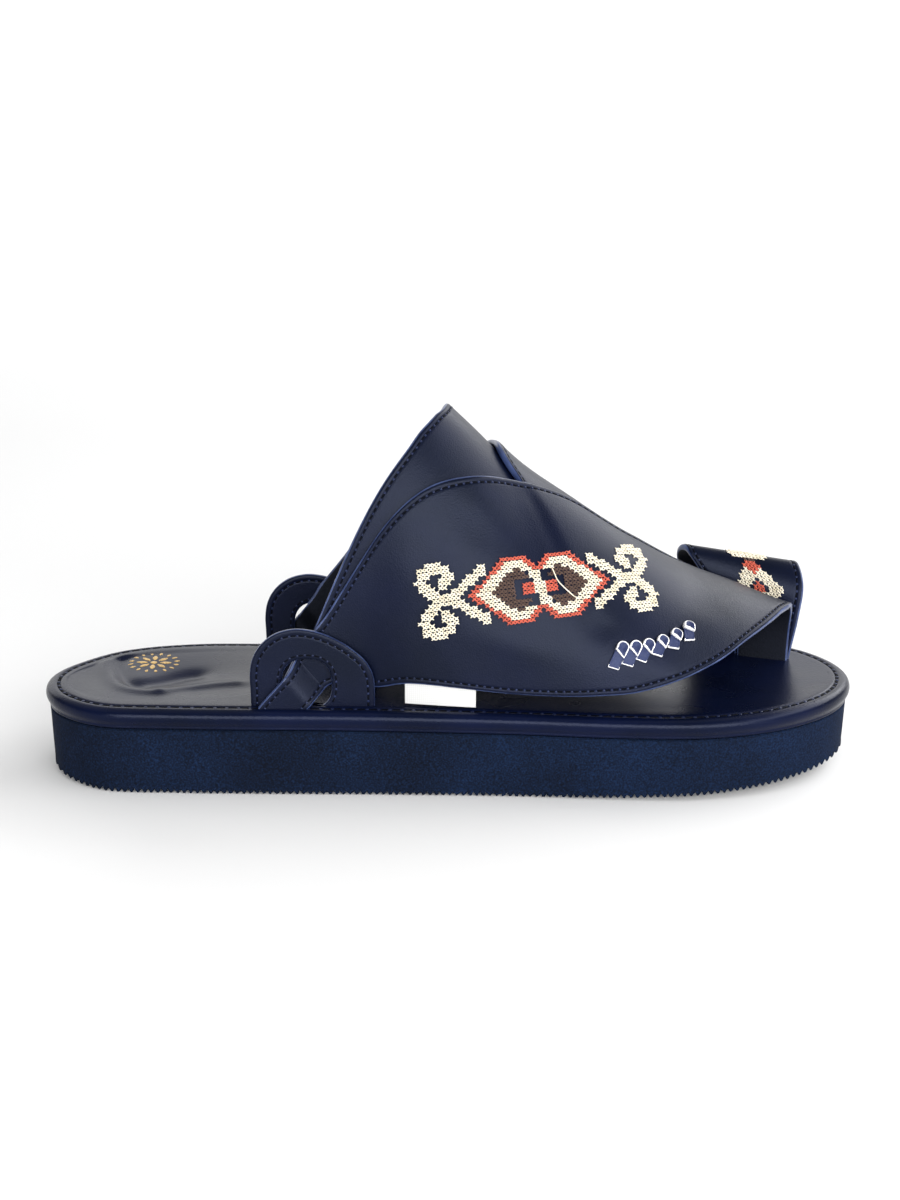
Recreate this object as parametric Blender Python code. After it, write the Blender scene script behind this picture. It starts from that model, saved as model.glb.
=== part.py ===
"""Right-foot leather sandal: crossed instep wings, instep band, toe loop and ears on a thick sole.

The shoe stands on the floor Z = 0, toe towards +X, inner side towards +Y.
Sizes are in millimetres and are turned into metres when the meshes are made.
"""
import math

import bmesh
import bpy
import numpy as np

MM = 0.001
GAP = 0.3

LENGTH = 287.0
WIDTH = 98.0
SOLE_TOP = 23.5
DECK = 31.0
DECK_DROP = 1.0
WELT = SOLE_TOP + GAP
TOE_LIFT = 5.5
HEEL_LIFT = 1.8
SLOT_FLOOR = 28.2

EAR_FACE = 33.0
EAR_THICK = 2.0
EAR_BASE = 28.5
STRAP_END = 2.6
PASS_RUN = 7.8
PASS_CENTRE = (-50.9, 39.3)
PASS_TILT = math.radians(39.7)
HOLE_CENTRE = (-49.0, 38.7)
HOLE_HALF = (8.6, 8.9)
HOLE_SQUARENESS = 2.5

LACE_WIDTH = 4.0
LACE_THICK = 1.2
LACE_RISE = 2.0

# Plan of the sole: share of the length from the heel, sides as shares of the width.
PLAN = [
    # along, outer side, inner side
    (0.000, -0.055, -0.055),
    (0.024, -0.264, 0.140),
    (0.080, -0.388, 0.306),
    (0.168, -0.414, 0.384),
    (0.290, -0.425, 0.388),
    (0.430, -0.432, 0.385),
    (0.587, -0.450, 0.432),
    (0.710, -0.483, 0.490),
    (0.797, -0.487, 0.505),
    (0.878, -0.425, 0.470),
    (0.948, -0.290, 0.362),
    (0.986, -0.140, 0.215),
    (1.000, 0.040, 0.040),
]

# Foot form under the straps, one arched section a row, in millimetres above the deck.
FORM = [
    # station, outer wall, inner wall, crest side, crest height, squareness of the inner half
    (-72.0, -30.0, 30.0, 0.0, 128.0, 2.0),
    (-45.0, -30.0, 30.0, 1.0, 121.0, 2.0),
    (-28.0, -29.7, 29.7, 1.5, 113.0, 2.0),
    (-12.0, -33.0, 32.6, 2.0, 104.0, 2.0),
    (5.0, -35.5, 35.0, 3.0, 88.5, 2.0),
    (20.0, -36.5, 36.0, 4.0, 73.5, 2.0),
    (40.0, -37.5, 37.0, 5.0, 59.0, 2.0),
    (60.0, -38.0, 37.5, 7.0, 45.0, 2.0),
    (80.0, -36.0, 33.0, 9.0, 31.0, 2.2),
    (100.0, -28.0, 20.2, 8.6, 23.4, 3.0),
    (115.0, -15.0, 13.6, 5.6, 18.0, 3.5),
    (126.0, -4.0, 9.4, 3.0, 15.4, 3.5),
]

# Straps as bands over the form. Girth: -1 outer deck line, 0 crest, +1 inner deck line.
BAND = [
    # rear station, rear girth, front station, front girth, lift, thickness
    (-66.5, -1.024, -50.0, -1.024, 0.0, 1.0),
    (-65.5, -1.000, -48.5, -1.000, 0.0, 1.0),
    (-57.6, -0.953, -44.6, -0.980, 0.0, 0.9),
    (-54.2, -0.925, -41.8, -0.966, 0.0, 0.9),
    (-50.3, -0.897, -38.5, -0.955, 0.0, 0.9),
    (-46.7, -0.866, -33.0, -0.940, 0.0, 1.0),
    (-40.6, -0.785, -20.0, -0.880, 0.0, 1.2),
    (-31.8, -0.659, -3.0, -0.740, 0.0, 2.4),
    (-17.1, -0.443, 14.0, -0.500, 0.0, 2.4),
    (-10.9, -0.319, 22.0, -0.340, 0.0, 2.4),
    (-6.2, -0.195, 26.5, -0.167, 0.0, 2.4),
    (-3.1, -0.045, 30.0, 0.000, 0.0, 2.4),
    (-2.5, 0.290, 24.0, 0.340, 0.0, 2.4),
    (-8.5, 0.443, 16.0, 0.500, 0.0, 2.4),
    (-24.5, 0.659, -3.0, 0.740, 0.0, 2.4),
    (-36.5, 0.785, -20.0, 0.880, 0.0, 1.2),
    (-46.7, 0.866, -33.0, 0.940, 0.0, 1.0),
    (-50.3, 0.897, -38.5, 0.955, 0.0, 0.9),
    (-54.2, 0.925, -41.8, 0.966, 0.0, 0.9),
    (-57.6, 0.953, -44.6, 0.980, 0.0, 0.9),
    (-65.5, 1.000, -48.5, 1.000, 0.0, 1.0),
    (-66.5, 1.024, -50.0, 1.024, 0.0, 1.0),
]

WING_INNER = [
    # rear station, rear girth, front station, front girth, lift, thickness
    (-66.5, 1.024, -50.0, 1.024, 1.6, 1.0),
    (-65.5, 1.000, -48.5, 1.000, 1.6, 1.0),
    (-57.6, 0.953, -44.6, 0.980, 1.6, 1.0),
    (-54.2, 0.925, -41.8, 0.966, 1.6, 1.0),
    (-50.3, 0.897, -38.5, 0.958, 1.6, 1.0),
    (-46.7, 0.866, -31.0, 0.955, 1.6, 1.0),
    (-38.0, 0.818, -22.0, 0.952, 1.7, 1.1),
    (-23.0, 0.713, 5.0, 0.942, 2.7, 2.2),
    (-4.5, 0.540, 38.0, 0.925, 2.7, 2.4),
    (6.5, 0.360, 62.0, 0.850, 2.7, 2.4),
    (12.0, 0.130, 80.0, 0.640, 2.7, 2.4),
    (14.5, -0.060, 91.0, 0.320, 2.7, 2.4),
    (21.0, -0.172, 96.0, -0.050, 2.7, 2.4),
    (30.4, -0.308, 95.0, -0.330, 2.7, 2.4),
    (40.0, -0.470, 90.0, -0.530, 2.7, 2.4),
    (47.0, -0.660, 86.0, -0.650, 2.7, 2.4),
    (51.0, -0.850, 83.0, -0.730, 2.7, 2.4),
]

WING_OUTER = [
    # upper station, upper girth, lower station, lower girth, lift, thickness
    (-66.5, -1.024, -50.0, -1.024, 1.6, 1.0),
    (-65.5, -1.000, -48.5, -1.000, 1.6, 1.0),
    (-57.6, -0.953, -44.6, -0.980, 1.6, 1.0),
    (-54.2, -0.925, -41.8, -0.966, 1.6, 1.0),
    (-50.3, -0.897, -38.5, -0.961, 1.6, 1.0),
    (-46.7, -0.867, -31.0, -0.963, 1.6, 1.0),
    (-40.7, -0.819, -24.0, -0.966, 1.7, 1.1),
    (-30.2, -0.713, -13.0, -0.949, 2.6, 2.0),
    (-19.8, -0.604, 1.7, -0.945, 3.0, 2.4),
    (-7.5, -0.477, 19.6, -0.945, 3.6, 2.4),
    (6.6, -0.348, 37.8, -0.939, 4.7, 2.4),
    (19.5, -0.229, 51.3, -0.924, 5.4, 2.4),
    (37.6, -0.115, 64.1, -0.897, 5.4, 2.4),
    (58.0, -0.080, 76.5, -0.827, 5.4, 2.4),
    (76.0, 0.060, 90.1, -0.706, 5.4, 2.4),
    (89.0, 0.330, 99.5, -0.562, 5.4, 2.4),
    (97.5, 0.640, 108.0, -0.400, 5.4, 2.4),
    (101.2, 0.840, 114.5, -0.220, 5.4, 2.4),
    (102.2, 0.930, 119.8, 0.020, 5.6, 2.2),
    (102.7, 0.975, 121.0, 0.350, 6.0, 1.8),
    (103.0, 0.990, 121.0, 0.750, 6.4, 1.4),
    (103.0, 0.998, 120.8, 0.990, 6.4, 1.4),
    (103.0, 1.020, 120.7, 1.020, 6.4, 1.4),
]

# Toe loop: inner face of the band over the big toe, from the slot to the inner rim.
TOE_LOOP = [
    # rear x, y, z, front x, y, z, thickness
    (105.5, 27.7, 28.6, 124.2, 20.7, 28.6, 1.3),
    (105.0, 27.7, 33.0, 125.0, 20.7, 33.0, 1.3),
    (101.5, 29.6, 45.0, 127.4, 21.5, 45.0, 1.8),
    (94.0, 30.6, 57.5, 129.0, 24.2, 55.5, 2.4),
    (86.8, 34.0, 66.6, 127.6, 30.0, 61.3, 2.4),
    (84.0, 39.3, 64.8, 126.2, 36.4, 58.8, 2.4),
    (85.6, 43.4, 56.5, 124.0, 39.8, 51.0, 2.4),
    (88.6, 44.4, 45.0, 121.6, 40.4, 42.0, 2.2),
    (90.8, 43.4, 34.0, 120.0, 38.8, 34.0, 1.5),
    (91.5, 43.0, 28.6, 119.5, 38.2, 28.6, 1.3),
]

# Outline of an ear seen from the side.
EAR = [
    # station, height
    (-68.3, EAR_BASE),
    (-68.4, 36.0),
    (-68.5, 42.5),
    (-67.6, 47.5),
    (-65.0, 52.2),
    (-60.3, 56.2),
    (-53.7, 58.2),
    (-46.6, 57.6),
    (-38.9, 54.6),
    (-32.4, 50.2),
    (-28.3, 46.0),
    (-26.3, 41.5),
    (-25.8, 36.0),
    (-26.0, EAR_BASE),
]

# Six laces through both wings: loop end and tail end of each on the form.
LACES = [
    # loop station, loop girth, tail station, tail girth
    (57.8, -0.700, 54.6, -0.812),
    (61.9, -0.685, 58.9, -0.792),
    (66.0, -0.664, 63.2, -0.765),
    (70.2, -0.630, 68.2, -0.728),
    (74.2, -0.580, 73.4, -0.680),
    (77.8, -0.522, 78.8, -0.622),
]

LABEL = [
    # upper station, upper girth, lower station, lower girth, lift, thickness
    (-15.0, -0.935, -15.0, -0.996, 1.6, 0.4),
    (-3.0, -0.935, -3.0, -0.996, 1.9, 0.4),
    (9.0, -0.935, 9.0, -0.996, 2.2, 0.4),
]


def hermite(knots, values, at):
    """Smooth curve through the rows of a table; ends run out straight."""
    k = np.asarray(knots, float)
    v = np.asarray(values, float).reshape(len(k), -1)
    at = np.asarray(at, float).ravel()
    h = (k[1:] - k[:-1])[:, None]
    s = (v[1:] - v[:-1]) / h
    m = np.empty_like(v)
    m[1:-1] = (s[:-1] * h[1:] + s[1:] * h[:-1]) / (h[1:] + h[:-1])
    m[0] = 1.5 * s[0] - 0.5 * m[1]
    m[-1] = 1.5 * s[-1] - 0.5 * m[-2]
    i = np.clip(np.searchsorted(k, at, side="right") - 1, 0, len(k) - 2)
    d = (k[i + 1] - k[i])[:, None]
    t = (at[:, None] - k[i][:, None]) / d
    return (
        (1 + 2 * t) * (1 - t) ** 2 * v[i]
        + t * (1 - t) ** 2 * d * m[i]
        + t * t * (3 - 2 * t) * v[i + 1]
        + t * t * (t - 1) * d * m[i + 1]
    )


def smooth(s):
    """Soft step from 0 to 1."""
    s = np.clip(s, 0.0, 1.0)
    return s * s * (3 - 2 * s)


def plan(n, inset):
    """Closed plan curve of 2n points from the heel along the outer side and back, moved inwards."""
    rows = np.array(PLAN)
    angle = np.arccos(1 - 2 * rows[:, 0])
    knots = np.concatenate([angle, 2 * np.pi - angle[-2::-1]])
    side = np.concatenate([rows[:, 1], rows[-2::-1, 2]])
    knots = np.concatenate([knots[-4:-1] - 2 * np.pi, knots, knots[1:4] + 2 * np.pi])
    side = np.concatenate([side[-4:-1], side, side[1:4]])
    a = np.linspace(0, 2 * np.pi, 2 * n, endpoint=False)
    p = np.stack([-np.cos(a) * LENGTH / 2, hermite(knots, side, a)[:, 0] * WIDTH], 1)
    t = np.roll(p, -1, 0) - np.roll(p, 1, 0)
    t /= np.linalg.norm(t, axis=1)[:, None]
    return p + inset * np.stack([-t[:, 1], t[:, 0]], 1)


def sag(x):
    """Drop of the deck from heel to ball."""
    return -DECK_DROP * smooth((x + 60) / 120)


def tread(x):
    """Height of the underside: flat under heel and ball, lifted at both ends."""
    toe = TOE_LIFT * np.clip((x - 22) / 121, 0, 1) ** 1.7
    heel = HEEL_LIFT * np.clip((-118 - x) / 25, 0, 1) ** 1.6
    return toe + heel


def cup(x, y):
    """Padded seat: a shallow dish under the heel and a soft hollow under the ball."""
    heel = 1.7 * np.exp(-(((x + 98) / 27) ** 2) - ((y - 1) / 19) ** 2)
    ball = 0.8 * np.exp(-(((x - 70) / 34) ** 2) - ((y - 3) / 26) ** 2)
    return -heel - ball


def form(x, t, lift):
    """Point on the foot form at a station and girth, raised along its normal."""
    x, t, lift = np.broadcast_arrays(np.asarray(x, float), np.asarray(t, float), np.asarray(lift, float))
    shape = x.shape
    x, t, lift = x.ravel(), t.ravel(), lift.ravel()
    rows = np.array(FORM)

    def raw(x, t):
        outer, inner, side, height, square = hermite(rows[:, 0], rows[:, 1:], x).T
        a = np.clip(np.abs(t), 0, 1)
        ph = (1 - a) * np.pi / 2
        n = np.where(t < 0, 2.0, square)
        half = np.where(t < 0, outer - side, inner - side)
        y = side + half * np.cos(ph) ** (2 / n)
        z = DECK + height * np.sin(ph) ** (2 / n) - np.maximum(np.abs(t) - 1, 0) * 100
        run = math.cos(PASS_TILT) * (x - PASS_CENTRE[0]) + math.sin(PASS_TILT) * (z - PASS_CENTRE[1])
        step = EAR_THICK + STRAP_END + 3 * GAP
        y = y + np.sign(t) * step * smooth(0.5 - run / PASS_RUN)
        return np.stack([x, y, z], 1)

    e = 1e-3
    p = raw(x, t)
    normal = np.cross(raw(x + e, t) - raw(x - e, t), raw(x, t + e) - raw(x, t - e))
    normal /= np.linalg.norm(normal, axis=1)[:, None]
    return (p + normal * lift[:, None]).reshape(shape + (3,))


def colour(hexa):
    """Display colour as linear red, green, blue."""
    v = [int(hexa[i:i + 2], 16) / 255 for i in (1, 3, 5)]
    return [c / 12.92 if c < 0.04045 else ((c + 0.055) / 1.055) ** 2.4 for c in v] + [1.0]


def build(name, verts, faces, hexa, rough, angle=40):
    """Closed mesh object with its own material."""
    mesh = bpy.data.meshes.new(name)
    mesh.from_pydata([tuple(v * MM for v in p) for p in np.asarray(verts).tolist()], [], faces)
    bm = bmesh.new()
    bm.from_mesh(mesh)
    bmesh.ops.remove_doubles(bm, verts=bm.verts, dist=0.00002)
    bmesh.ops.recalc_face_normals(bm, faces=bm.faces)
    bm.to_mesh(mesh)
    bm.free()
    mesh.shade_smooth()
    mesh.set_sharp_from_angle(angle=math.radians(angle))
    mat = bpy.data.materials.new(name + "_surface")
    mat.use_nodes = True
    shader = mat.node_tree.nodes["Principled BSDF"]
    shader.inputs["Base Color"].default_value = colour(hexa)
    shader.inputs["Roughness"].default_value = rough
    shader.inputs["Metallic"].default_value = 0.0
    mat.diffuse_color = colour(hexa)
    mesh.materials.append(mat)
    obj = bpy.data.objects.new(name, mesh)
    bpy.context.scene.collection.objects.link(obj)
    return obj


def skin(inner, outer):
    """Faces of a closed sheet from its inner and outer point grids."""
    nu, nv = inner.shape[:2]
    verts = np.concatenate([inner.reshape(-1, 3), outer.reshape(-1, 3)])
    at = lambda s, i, j: s * nu * nv + i * nv + j
    faces = []
    for i in range(nu - 1):
        for j in range(nv - 1):
            faces.append((at(0, i, j), at(0, i + 1, j), at(0, i + 1, j + 1), at(0, i, j + 1)))
            faces.append((at(1, i, j), at(1, i, j + 1), at(1, i + 1, j + 1), at(1, i + 1, j)))
    for i in range(nu - 1):
        for j in (0, nv - 1):
            faces.append((at(0, i, j), at(1, i, j), at(1, i + 1, j), at(0, i + 1, j)))
    for j in range(nv - 1):
        for i in (0, nu - 1):
            faces.append((at(0, i, j), at(0, i, j + 1), at(1, i, j + 1), at(1, i, j)))
    return verts, faces


def across(n):
    """Shares across a strap, with a narrow column at each side for its rounded edge."""
    return np.concatenate([[0.0], np.linspace(0.018, 0.982, n - 2), [1.0]])


def strap(name, rows, nu, nv, hexa, rough):
    """Strap laid on the form from a table of its two edges."""
    rows = np.array(rows)
    u = hermite(np.arange(len(rows)), rows, np.linspace(0, len(rows) - 1, nu))
    v = across(nv)
    x = u[:, 0:1] * (1 - v) + u[:, 2:3] * v
    t = u[:, 1:2] * (1 - v) + u[:, 3:4] * v
    lift = np.repeat(u[:, 4:5], nv, 1)
    thick = np.repeat(u[:, 5:6], nv, 1)
    edge = np.where((v == 0) | (v == 1), 0.25, 0.0) * thick
    verts, faces = skin(form(x, t, lift + edge), form(x, t, lift + thick - edge))
    return build(name, verts, faces, hexa, rough)


def toe_loop(name, nu, nv, hexa, rough):
    """Band over the big toe, from its inner face outwards."""
    rows = np.array(TOE_LOOP)
    u = hermite(np.arange(len(rows)), rows, np.linspace(0, len(rows) - 1, nu))
    v = across(nv)[None, :, None]
    inner = u[:, None, 0:3] * (1 - v) + u[:, None, 3:6] * v
    run = np.gradient(inner, axis=0)
    wide = np.gradient(inner, axis=1)
    normal = np.cross(wide, run)
    normal /= np.linalg.norm(normal, axis=2)[:, :, None]
    normal[0, :, 2] = 0
    normal[-1, :, 2] = 0
    thick = u[:, 6][:, None, None]
    edge = np.where((v == 0) | (v == 1), 0.25, 0.0) * thick
    verts, faces = skin(inner + normal * edge, inner + normal * (thick - edge))
    return build(name, verts, faces, hexa, rough)


def stack(rings, columns, dish):
    """Closed solid from stacked plan rings; the top is filled with columns and dished."""
    n = len(rings[0])
    half = n // 2
    verts = np.concatenate(rings).tolist()
    faces = []
    for k in range(len(rings) - 1):
        for i in range(n):
            j = (i + 1) % n
            faces.append((k * n + i, k * n + j, (k + 1) * n + j, (k + 1) * n + i))
    outer = list(range(0, half + 1))
    inner = [0] + list(range(n - 1, half - 1, -1))
    for a, b, c, d in zip(outer, outer[1:], inner[1:], inner):
        faces.append(tuple(dict.fromkeys((a, b, c, d))))
    base = (len(rings) - 1) * n
    grid = []
    for a, b in zip(outer, inner):
        row = [base + a]
        if a != b:
            p, q = np.array(verts[base + a]), np.array(verts[base + b])
            for s in np.linspace(0, 1, columns + 1)[1:-1]:
                m = p * (1 - s) + q * s
                m[2] += dish(m[0], m[1])
                verts.append(m.tolist())
                row.append(len(verts) - 1)
            row.append(base + b)
        grid.append(row)
    for r, s in zip(grid, grid[1:]):
        if len(r) == 1:
            faces += [(r[0], s[j], s[j + 1]) for j in range(len(s) - 1)]
        elif len(s) == 1:
            faces += [(r[j], s[0], r[j + 1]) for j in range(len(r) - 1)]
        else:
            faces += [(r[j], s[j], s[j + 1], r[j + 1]) for j in range(len(r) - 1)]
    return np.array(verts), faces


def ring(n, inset, height):
    """One plan ring at a height that follows the station."""
    p = plan(n, inset)
    return np.column_stack([p, height(p[:, 0])])


def outsole():
    """Thick foamed sole with tapered walls."""
    n = 40
    rings = [
        ring(n, 3.0, tread),
        ring(n, 2.3, lambda x: tread(x) + 0.4),
        ring(n, 2.0, lambda x: tread(x) + 1.4),
        ring(n, 1.6, lambda x: 12.0 + 0.5 * tread(x)),
        ring(n, 1.3, lambda x: SOLE_TOP - 0.5 + sag(x)),
        ring(n, 1.8, lambda x: SOLE_TOP + sag(x)),
    ]
    verts, faces = stack(rings, 2, lambda x, y: 0.0)
    return build("outsole", verts, faces, "#1a2a4a", 0.85, 30)


def box(name, a, b, near, far, low, high):
    """Cutter block along the plan line a to b, between two side offsets."""
    a, b = np.array(a, float), np.array(b, float)
    along = (b - a) / np.linalg.norm(b - a)
    side = np.array([-along[1], along[0]])
    base = [a + side * near, b + side * near, b + side * far, a + side * far]
    verts = [(p[0], p[1], z) for z in (low, high) for p in base]
    faces = [(3, 2, 1, 0), (4, 5, 6, 7), (0, 1, 5, 4), (1, 2, 6, 5), (2, 3, 7, 6), (3, 0, 4, 7)]
    obj = build(name, np.array(verts), faces, "#202020", 0.9)
    obj.hide_render = True
    obj.display_type = "WIRE"
    return obj


def cut(body, cutter):
    """Take a block out of a body and drop the block."""
    mod = body.modifiers.new("cut", "BOOLEAN")
    mod.operation = "DIFFERENCE"
    mod.solver = "EXACT"
    mod.object = cutter
    graph = bpy.context.evaluated_depsgraph_get()
    mesh = bpy.data.meshes.new_from_object(body.evaluated_get(graph))
    body.modifiers.clear()
    old = body.data
    body.data = mesh
    mesh.name = body.name
    bpy.data.meshes.remove(old)
    bpy.data.objects.remove(cutter, do_unlink=True)


def footbed():
    """Leather-wrapped board with a rounded rim, a stitch groove and pockets for strap ends."""
    n = 40
    rings = [
        ring(n, 2.4, lambda x: WELT + sag(x)),
        ring(n, 0.7, lambda x: WELT + 0.5 + sag(x)),
        ring(n, 0.0, lambda x: WELT + 2.2 + sag(x)),
        ring(n, 0.05, lambda x: WELT + 4.0 + sag(x)),
        ring(n, 0.9, lambda x: DECK - 1.4 + sag(x)),
        ring(n, 2.4, lambda x: DECK - 0.2 + sag(x)),
        ring(n, 3.8, lambda x: DECK + sag(x)),
        ring(n, 4.6, lambda x: DECK - 0.5 + sag(x)),
        ring(n, 5.4, lambda x: DECK + sag(x)),
    ]
    verts, faces = stack(rings, 8, cup)
    body = build("footbed", verts, faces, "#1c2238", 0.3, 50)
    top = DECK + 4
    outer = EAR_FACE + EAR_THICK
    for s in (-1, 1):
        ends = [(-68.6, s * EAR_FACE), (-25.6, s * EAR_FACE)]
        cut(body, box("pocket", ends[0], ends[1], -GAP * s, s * (EAR_THICK + GAP), SLOT_FLOOR, top))
        ends = [(-67.4, s * outer), (-47.2, s * outer)]
        cut(body, box("pocket", ends[0], ends[1], 0.0, s * (STRAP_END + 3 * GAP), SLOT_FLOOR, top))
    first, last = np.array(TOE_LOOP[0]), np.array(TOE_LOOP[-1])
    cut(body, box("pocket", first[0:2] + (-0.6, 0.2), first[3:5] + (0.6, -0.2), -4.2, GAP, SLOT_FLOOR, top))
    cut(body, box("pocket", last[0:2] + (-0.6, 0.1), last[3:5] + (0.6, -0.1), -GAP, 1.7, SLOT_FLOOR, top))
    body.data.shade_smooth()
    body.data.set_sharp_from_angle(angle=math.radians(50))
    return body


def ear(name, side):
    """Upright leather tab with a rounded top and a wide low hole for the strap ends."""
    rows = np.array(EAR)
    span = np.concatenate([[0], np.cumsum(np.linalg.norm(np.diff(rows, axis=0), axis=1))])
    arch = hermite(span, rows, np.linspace(0, span[-1], 34))
    foot = np.linspace(arch[-1], arch[0], 10)[1:-1]
    outline = np.concatenate([arch, foot])
    centre = np.array(HOLE_CENTRE)
    rel = outline - centre
    power = (np.abs(rel) / HOLE_HALF) ** HOLE_SQUARENESS
    hole = centre + rel * (power.sum(1) ** (-1 / HOLE_SQUARENESS))[:, None]
    soft = 0.35
    towards = (hole - outline) / np.linalg.norm(hole - outline, axis=1)[:, None]
    near, far = EAR_FACE, EAR_FACE + EAR_THICK
    loops = [
        (hole, near + soft), (hole - towards * soft, near), (outline + towards * soft, near),
        (outline, near + soft), (outline, far - soft), (outline + towards * soft, far),
        (hole - towards * soft, far), (hole, far - soft),
    ]
    n = len(outline)
    verts = [(p[0], side * y, p[1]) for loop, y in loops for p in loop]
    faces = []
    for k in range(len(loops)):
        m = (k + 1) % len(loops)
        for i in range(n):
            j = (i + 1) % n
            faces.append((k * n + i, k * n + j, m * n + j, m * n + i))
    return build(name, np.array(verts), faces, "#1a2036", 0.35)


def lace(name, row):
    """Narrow thong: a raised loop at one end and a flat tail lying on the wing."""
    x0, t0, x1, t1 = row
    u = np.linspace(0, 1, 11)
    ends = form(np.array([x0, x1]), np.array([t0, t1]), 0.0)
    run = ends[1] - ends[0]
    half = LACE_WIDTH / 2
    v = np.array([-1.0, -0.8, 0.8, 1.0]) * half
    x = x0 + (x1 - x0) * u[:, None] + v[None, :] * abs(run[2]) / np.linalg.norm(run)
    t = t0 + (t1 - t0) * u[:, None] + 0 * v[None, :]
    rise = LACE_RISE * np.sin(np.pi * np.clip(u / 0.5, 0, 1)) ** 0.7
    lift = 7.8 + GAP + rise[:, None] + 0 * v[None, :]
    edge = np.where(np.abs(v) == half, 0.25, 0.0)
    verts, faces = skin(form(x, t, lift + edge), form(x, t, lift + LACE_THICK - edge))
    return build(name, verts, faces, "#161c33", 0.35)


def main():
    for obj in list(bpy.data.objects):
        bpy.data.objects.remove(obj, do_unlink=True)
    outsole()
    footbed()
    ear("ear_outer", -1)
    ear("ear_inner", 1)
    strap("instep_band", BAND, 35, 7, "#1b2137", 0.35)
    strap("wing_inner", WING_INNER, 41, 11, "#1b2137", 0.35)
    strap("wing_outer", WING_OUTER, 53, 11, "#1b2137", 0.35)
    toe_loop("toe_loop", 31, 9, "#1b2137", 0.35)
    strap("blank_label", LABEL, 5, 4, "#e8e8e6", 0.7)
    for k, row in enumerate(LACES):
        lace("lace_%d" % (k + 1), row)


main()
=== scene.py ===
# %% [markdown]
# # A right-foot leather sandal with crossed wings
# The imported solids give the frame: the sole's outline, the straps' routes and the ears' places.
# Every visible piece is worked out again here at a finer pitch, from the same short tables in
# millimetres, so that its edges, stitches, grain and embroidery can be shown.

import math

import bmesh
import bpy
import numpy as np
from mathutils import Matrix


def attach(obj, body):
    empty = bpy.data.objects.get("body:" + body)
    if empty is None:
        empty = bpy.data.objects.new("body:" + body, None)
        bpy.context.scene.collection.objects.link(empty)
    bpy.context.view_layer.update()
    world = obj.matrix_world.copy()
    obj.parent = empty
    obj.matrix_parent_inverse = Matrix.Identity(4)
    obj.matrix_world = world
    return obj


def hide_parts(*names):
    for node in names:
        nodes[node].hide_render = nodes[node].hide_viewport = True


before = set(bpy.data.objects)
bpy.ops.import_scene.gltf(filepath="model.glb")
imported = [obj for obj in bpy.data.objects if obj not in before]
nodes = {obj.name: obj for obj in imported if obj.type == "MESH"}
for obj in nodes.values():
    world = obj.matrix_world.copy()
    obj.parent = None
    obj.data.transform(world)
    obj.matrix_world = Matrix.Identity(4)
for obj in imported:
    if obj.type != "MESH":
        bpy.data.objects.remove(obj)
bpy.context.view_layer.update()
MM = 0.001
print("solids:", sorted(nodes))

# %% [markdown]
# ## Camera
# The photograph is taken from the outer side, a little above, from about 0.8 m. The lens looks
# at a point over the middle of the sole; a small shift puts that point below the frame's middle.

# %% Camera
EYE_DISTANCE = 0.800
EYE_ELEVATION = math.radians(18.5)
EYE_TARGET_Z = 0.030
LENS_MM = 66.96
SENSOR_MM = 36.0
SHIFT_UP = 76 / 1200


def shown(name, data):
    """An object for this mesh, light or camera, linked into the scene."""
    made = bpy.data.objects.new(name, data)
    bpy.context.scene.collection.objects.link(made)
    return made


camera_data = bpy.data.cameras.new("camera")
camera_data.lens = LENS_MM
camera_data.sensor_width = SENSOR_MM
camera_data.shift_y = SHIFT_UP
camera = shown("camera", camera_data)
camera.location = (
    0.0,
    -EYE_DISTANCE * math.cos(EYE_ELEVATION),
    EYE_TARGET_Z + EYE_DISTANCE * math.sin(EYE_ELEVATION),
)
camera.rotation_euler = (math.pi / 2 - EYE_ELEVATION, 0.0, 0.0)
bpy.context.scene.camera = camera
print("camera at", [round(v, 3) for v in camera.location])

# %% [markdown]
# ## Node and colour helpers
# One function turns a display colour into linear light, one fills the sockets of a shader node,
# one adds a node with its settings, and one closes a material with its colour, bump and gloss.
# Patterns are scaled by their real size in millimetres.

# %% Helpers for materials


def linear(hexa):
    """Display colour as linear red, green, blue: the sRGB curve undone channel by channel."""
    v = [int(hexa[i:i + 2], 16) / 255 for i in (1, 3, 5)]
    return tuple(c / 12.92 if c < 0.04045 else ((c + 0.055) / 1.055) ** 2.4 for c in v) + (1.0,)


def plug(tree, made, **inputs):
    """Fill a node's sockets, named in words or by place as i0, i1: nodes are linked, values set."""
    for key, value in inputs.items():
        socket = made.inputs[int(key[1:]) if key[1:].isdigit() else key.replace("_", " ")]
        source = value.outputs[0] if isinstance(value, bpy.types.Node) else value
        if isinstance(source, bpy.types.NodeSocket):
            tree.links.new(source, socket)
        else:
            socket.default_value = source
    return made


def node(tree, kind, settings=None, **inputs):
    """A shader node with its settings; stops are the (position, colour) pairs of a colour ramp."""
    made = tree.nodes.new(kind)
    for key, value in (settings or {}).items():
        if key == "stops":
            elements = made.color_ramp.elements
            while len(elements) < len(value):
                elements.new(0.5)
            for element, (position, hexa) in zip(elements, value):
                element.position = position
                element.color = linear(hexa)
        else:
            setattr(made, key, value)
    return plug(tree, made, **inputs)


def blank(name):
    """A new material: itself, its tree, its principled shader and its Object coordinates."""
    mat = bpy.data.materials.new(name)
    mat.use_nodes = True
    tree = mat.node_tree
    place = node(tree, "ShaderNodeTexCoord").outputs["Object"]
    return mat, tree, tree.nodes["Principled BSDF"], place


def per(mm):
    """Scale of a pattern that repeats about once in so many millimetres."""
    return 1 / (mm * MM)


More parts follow.
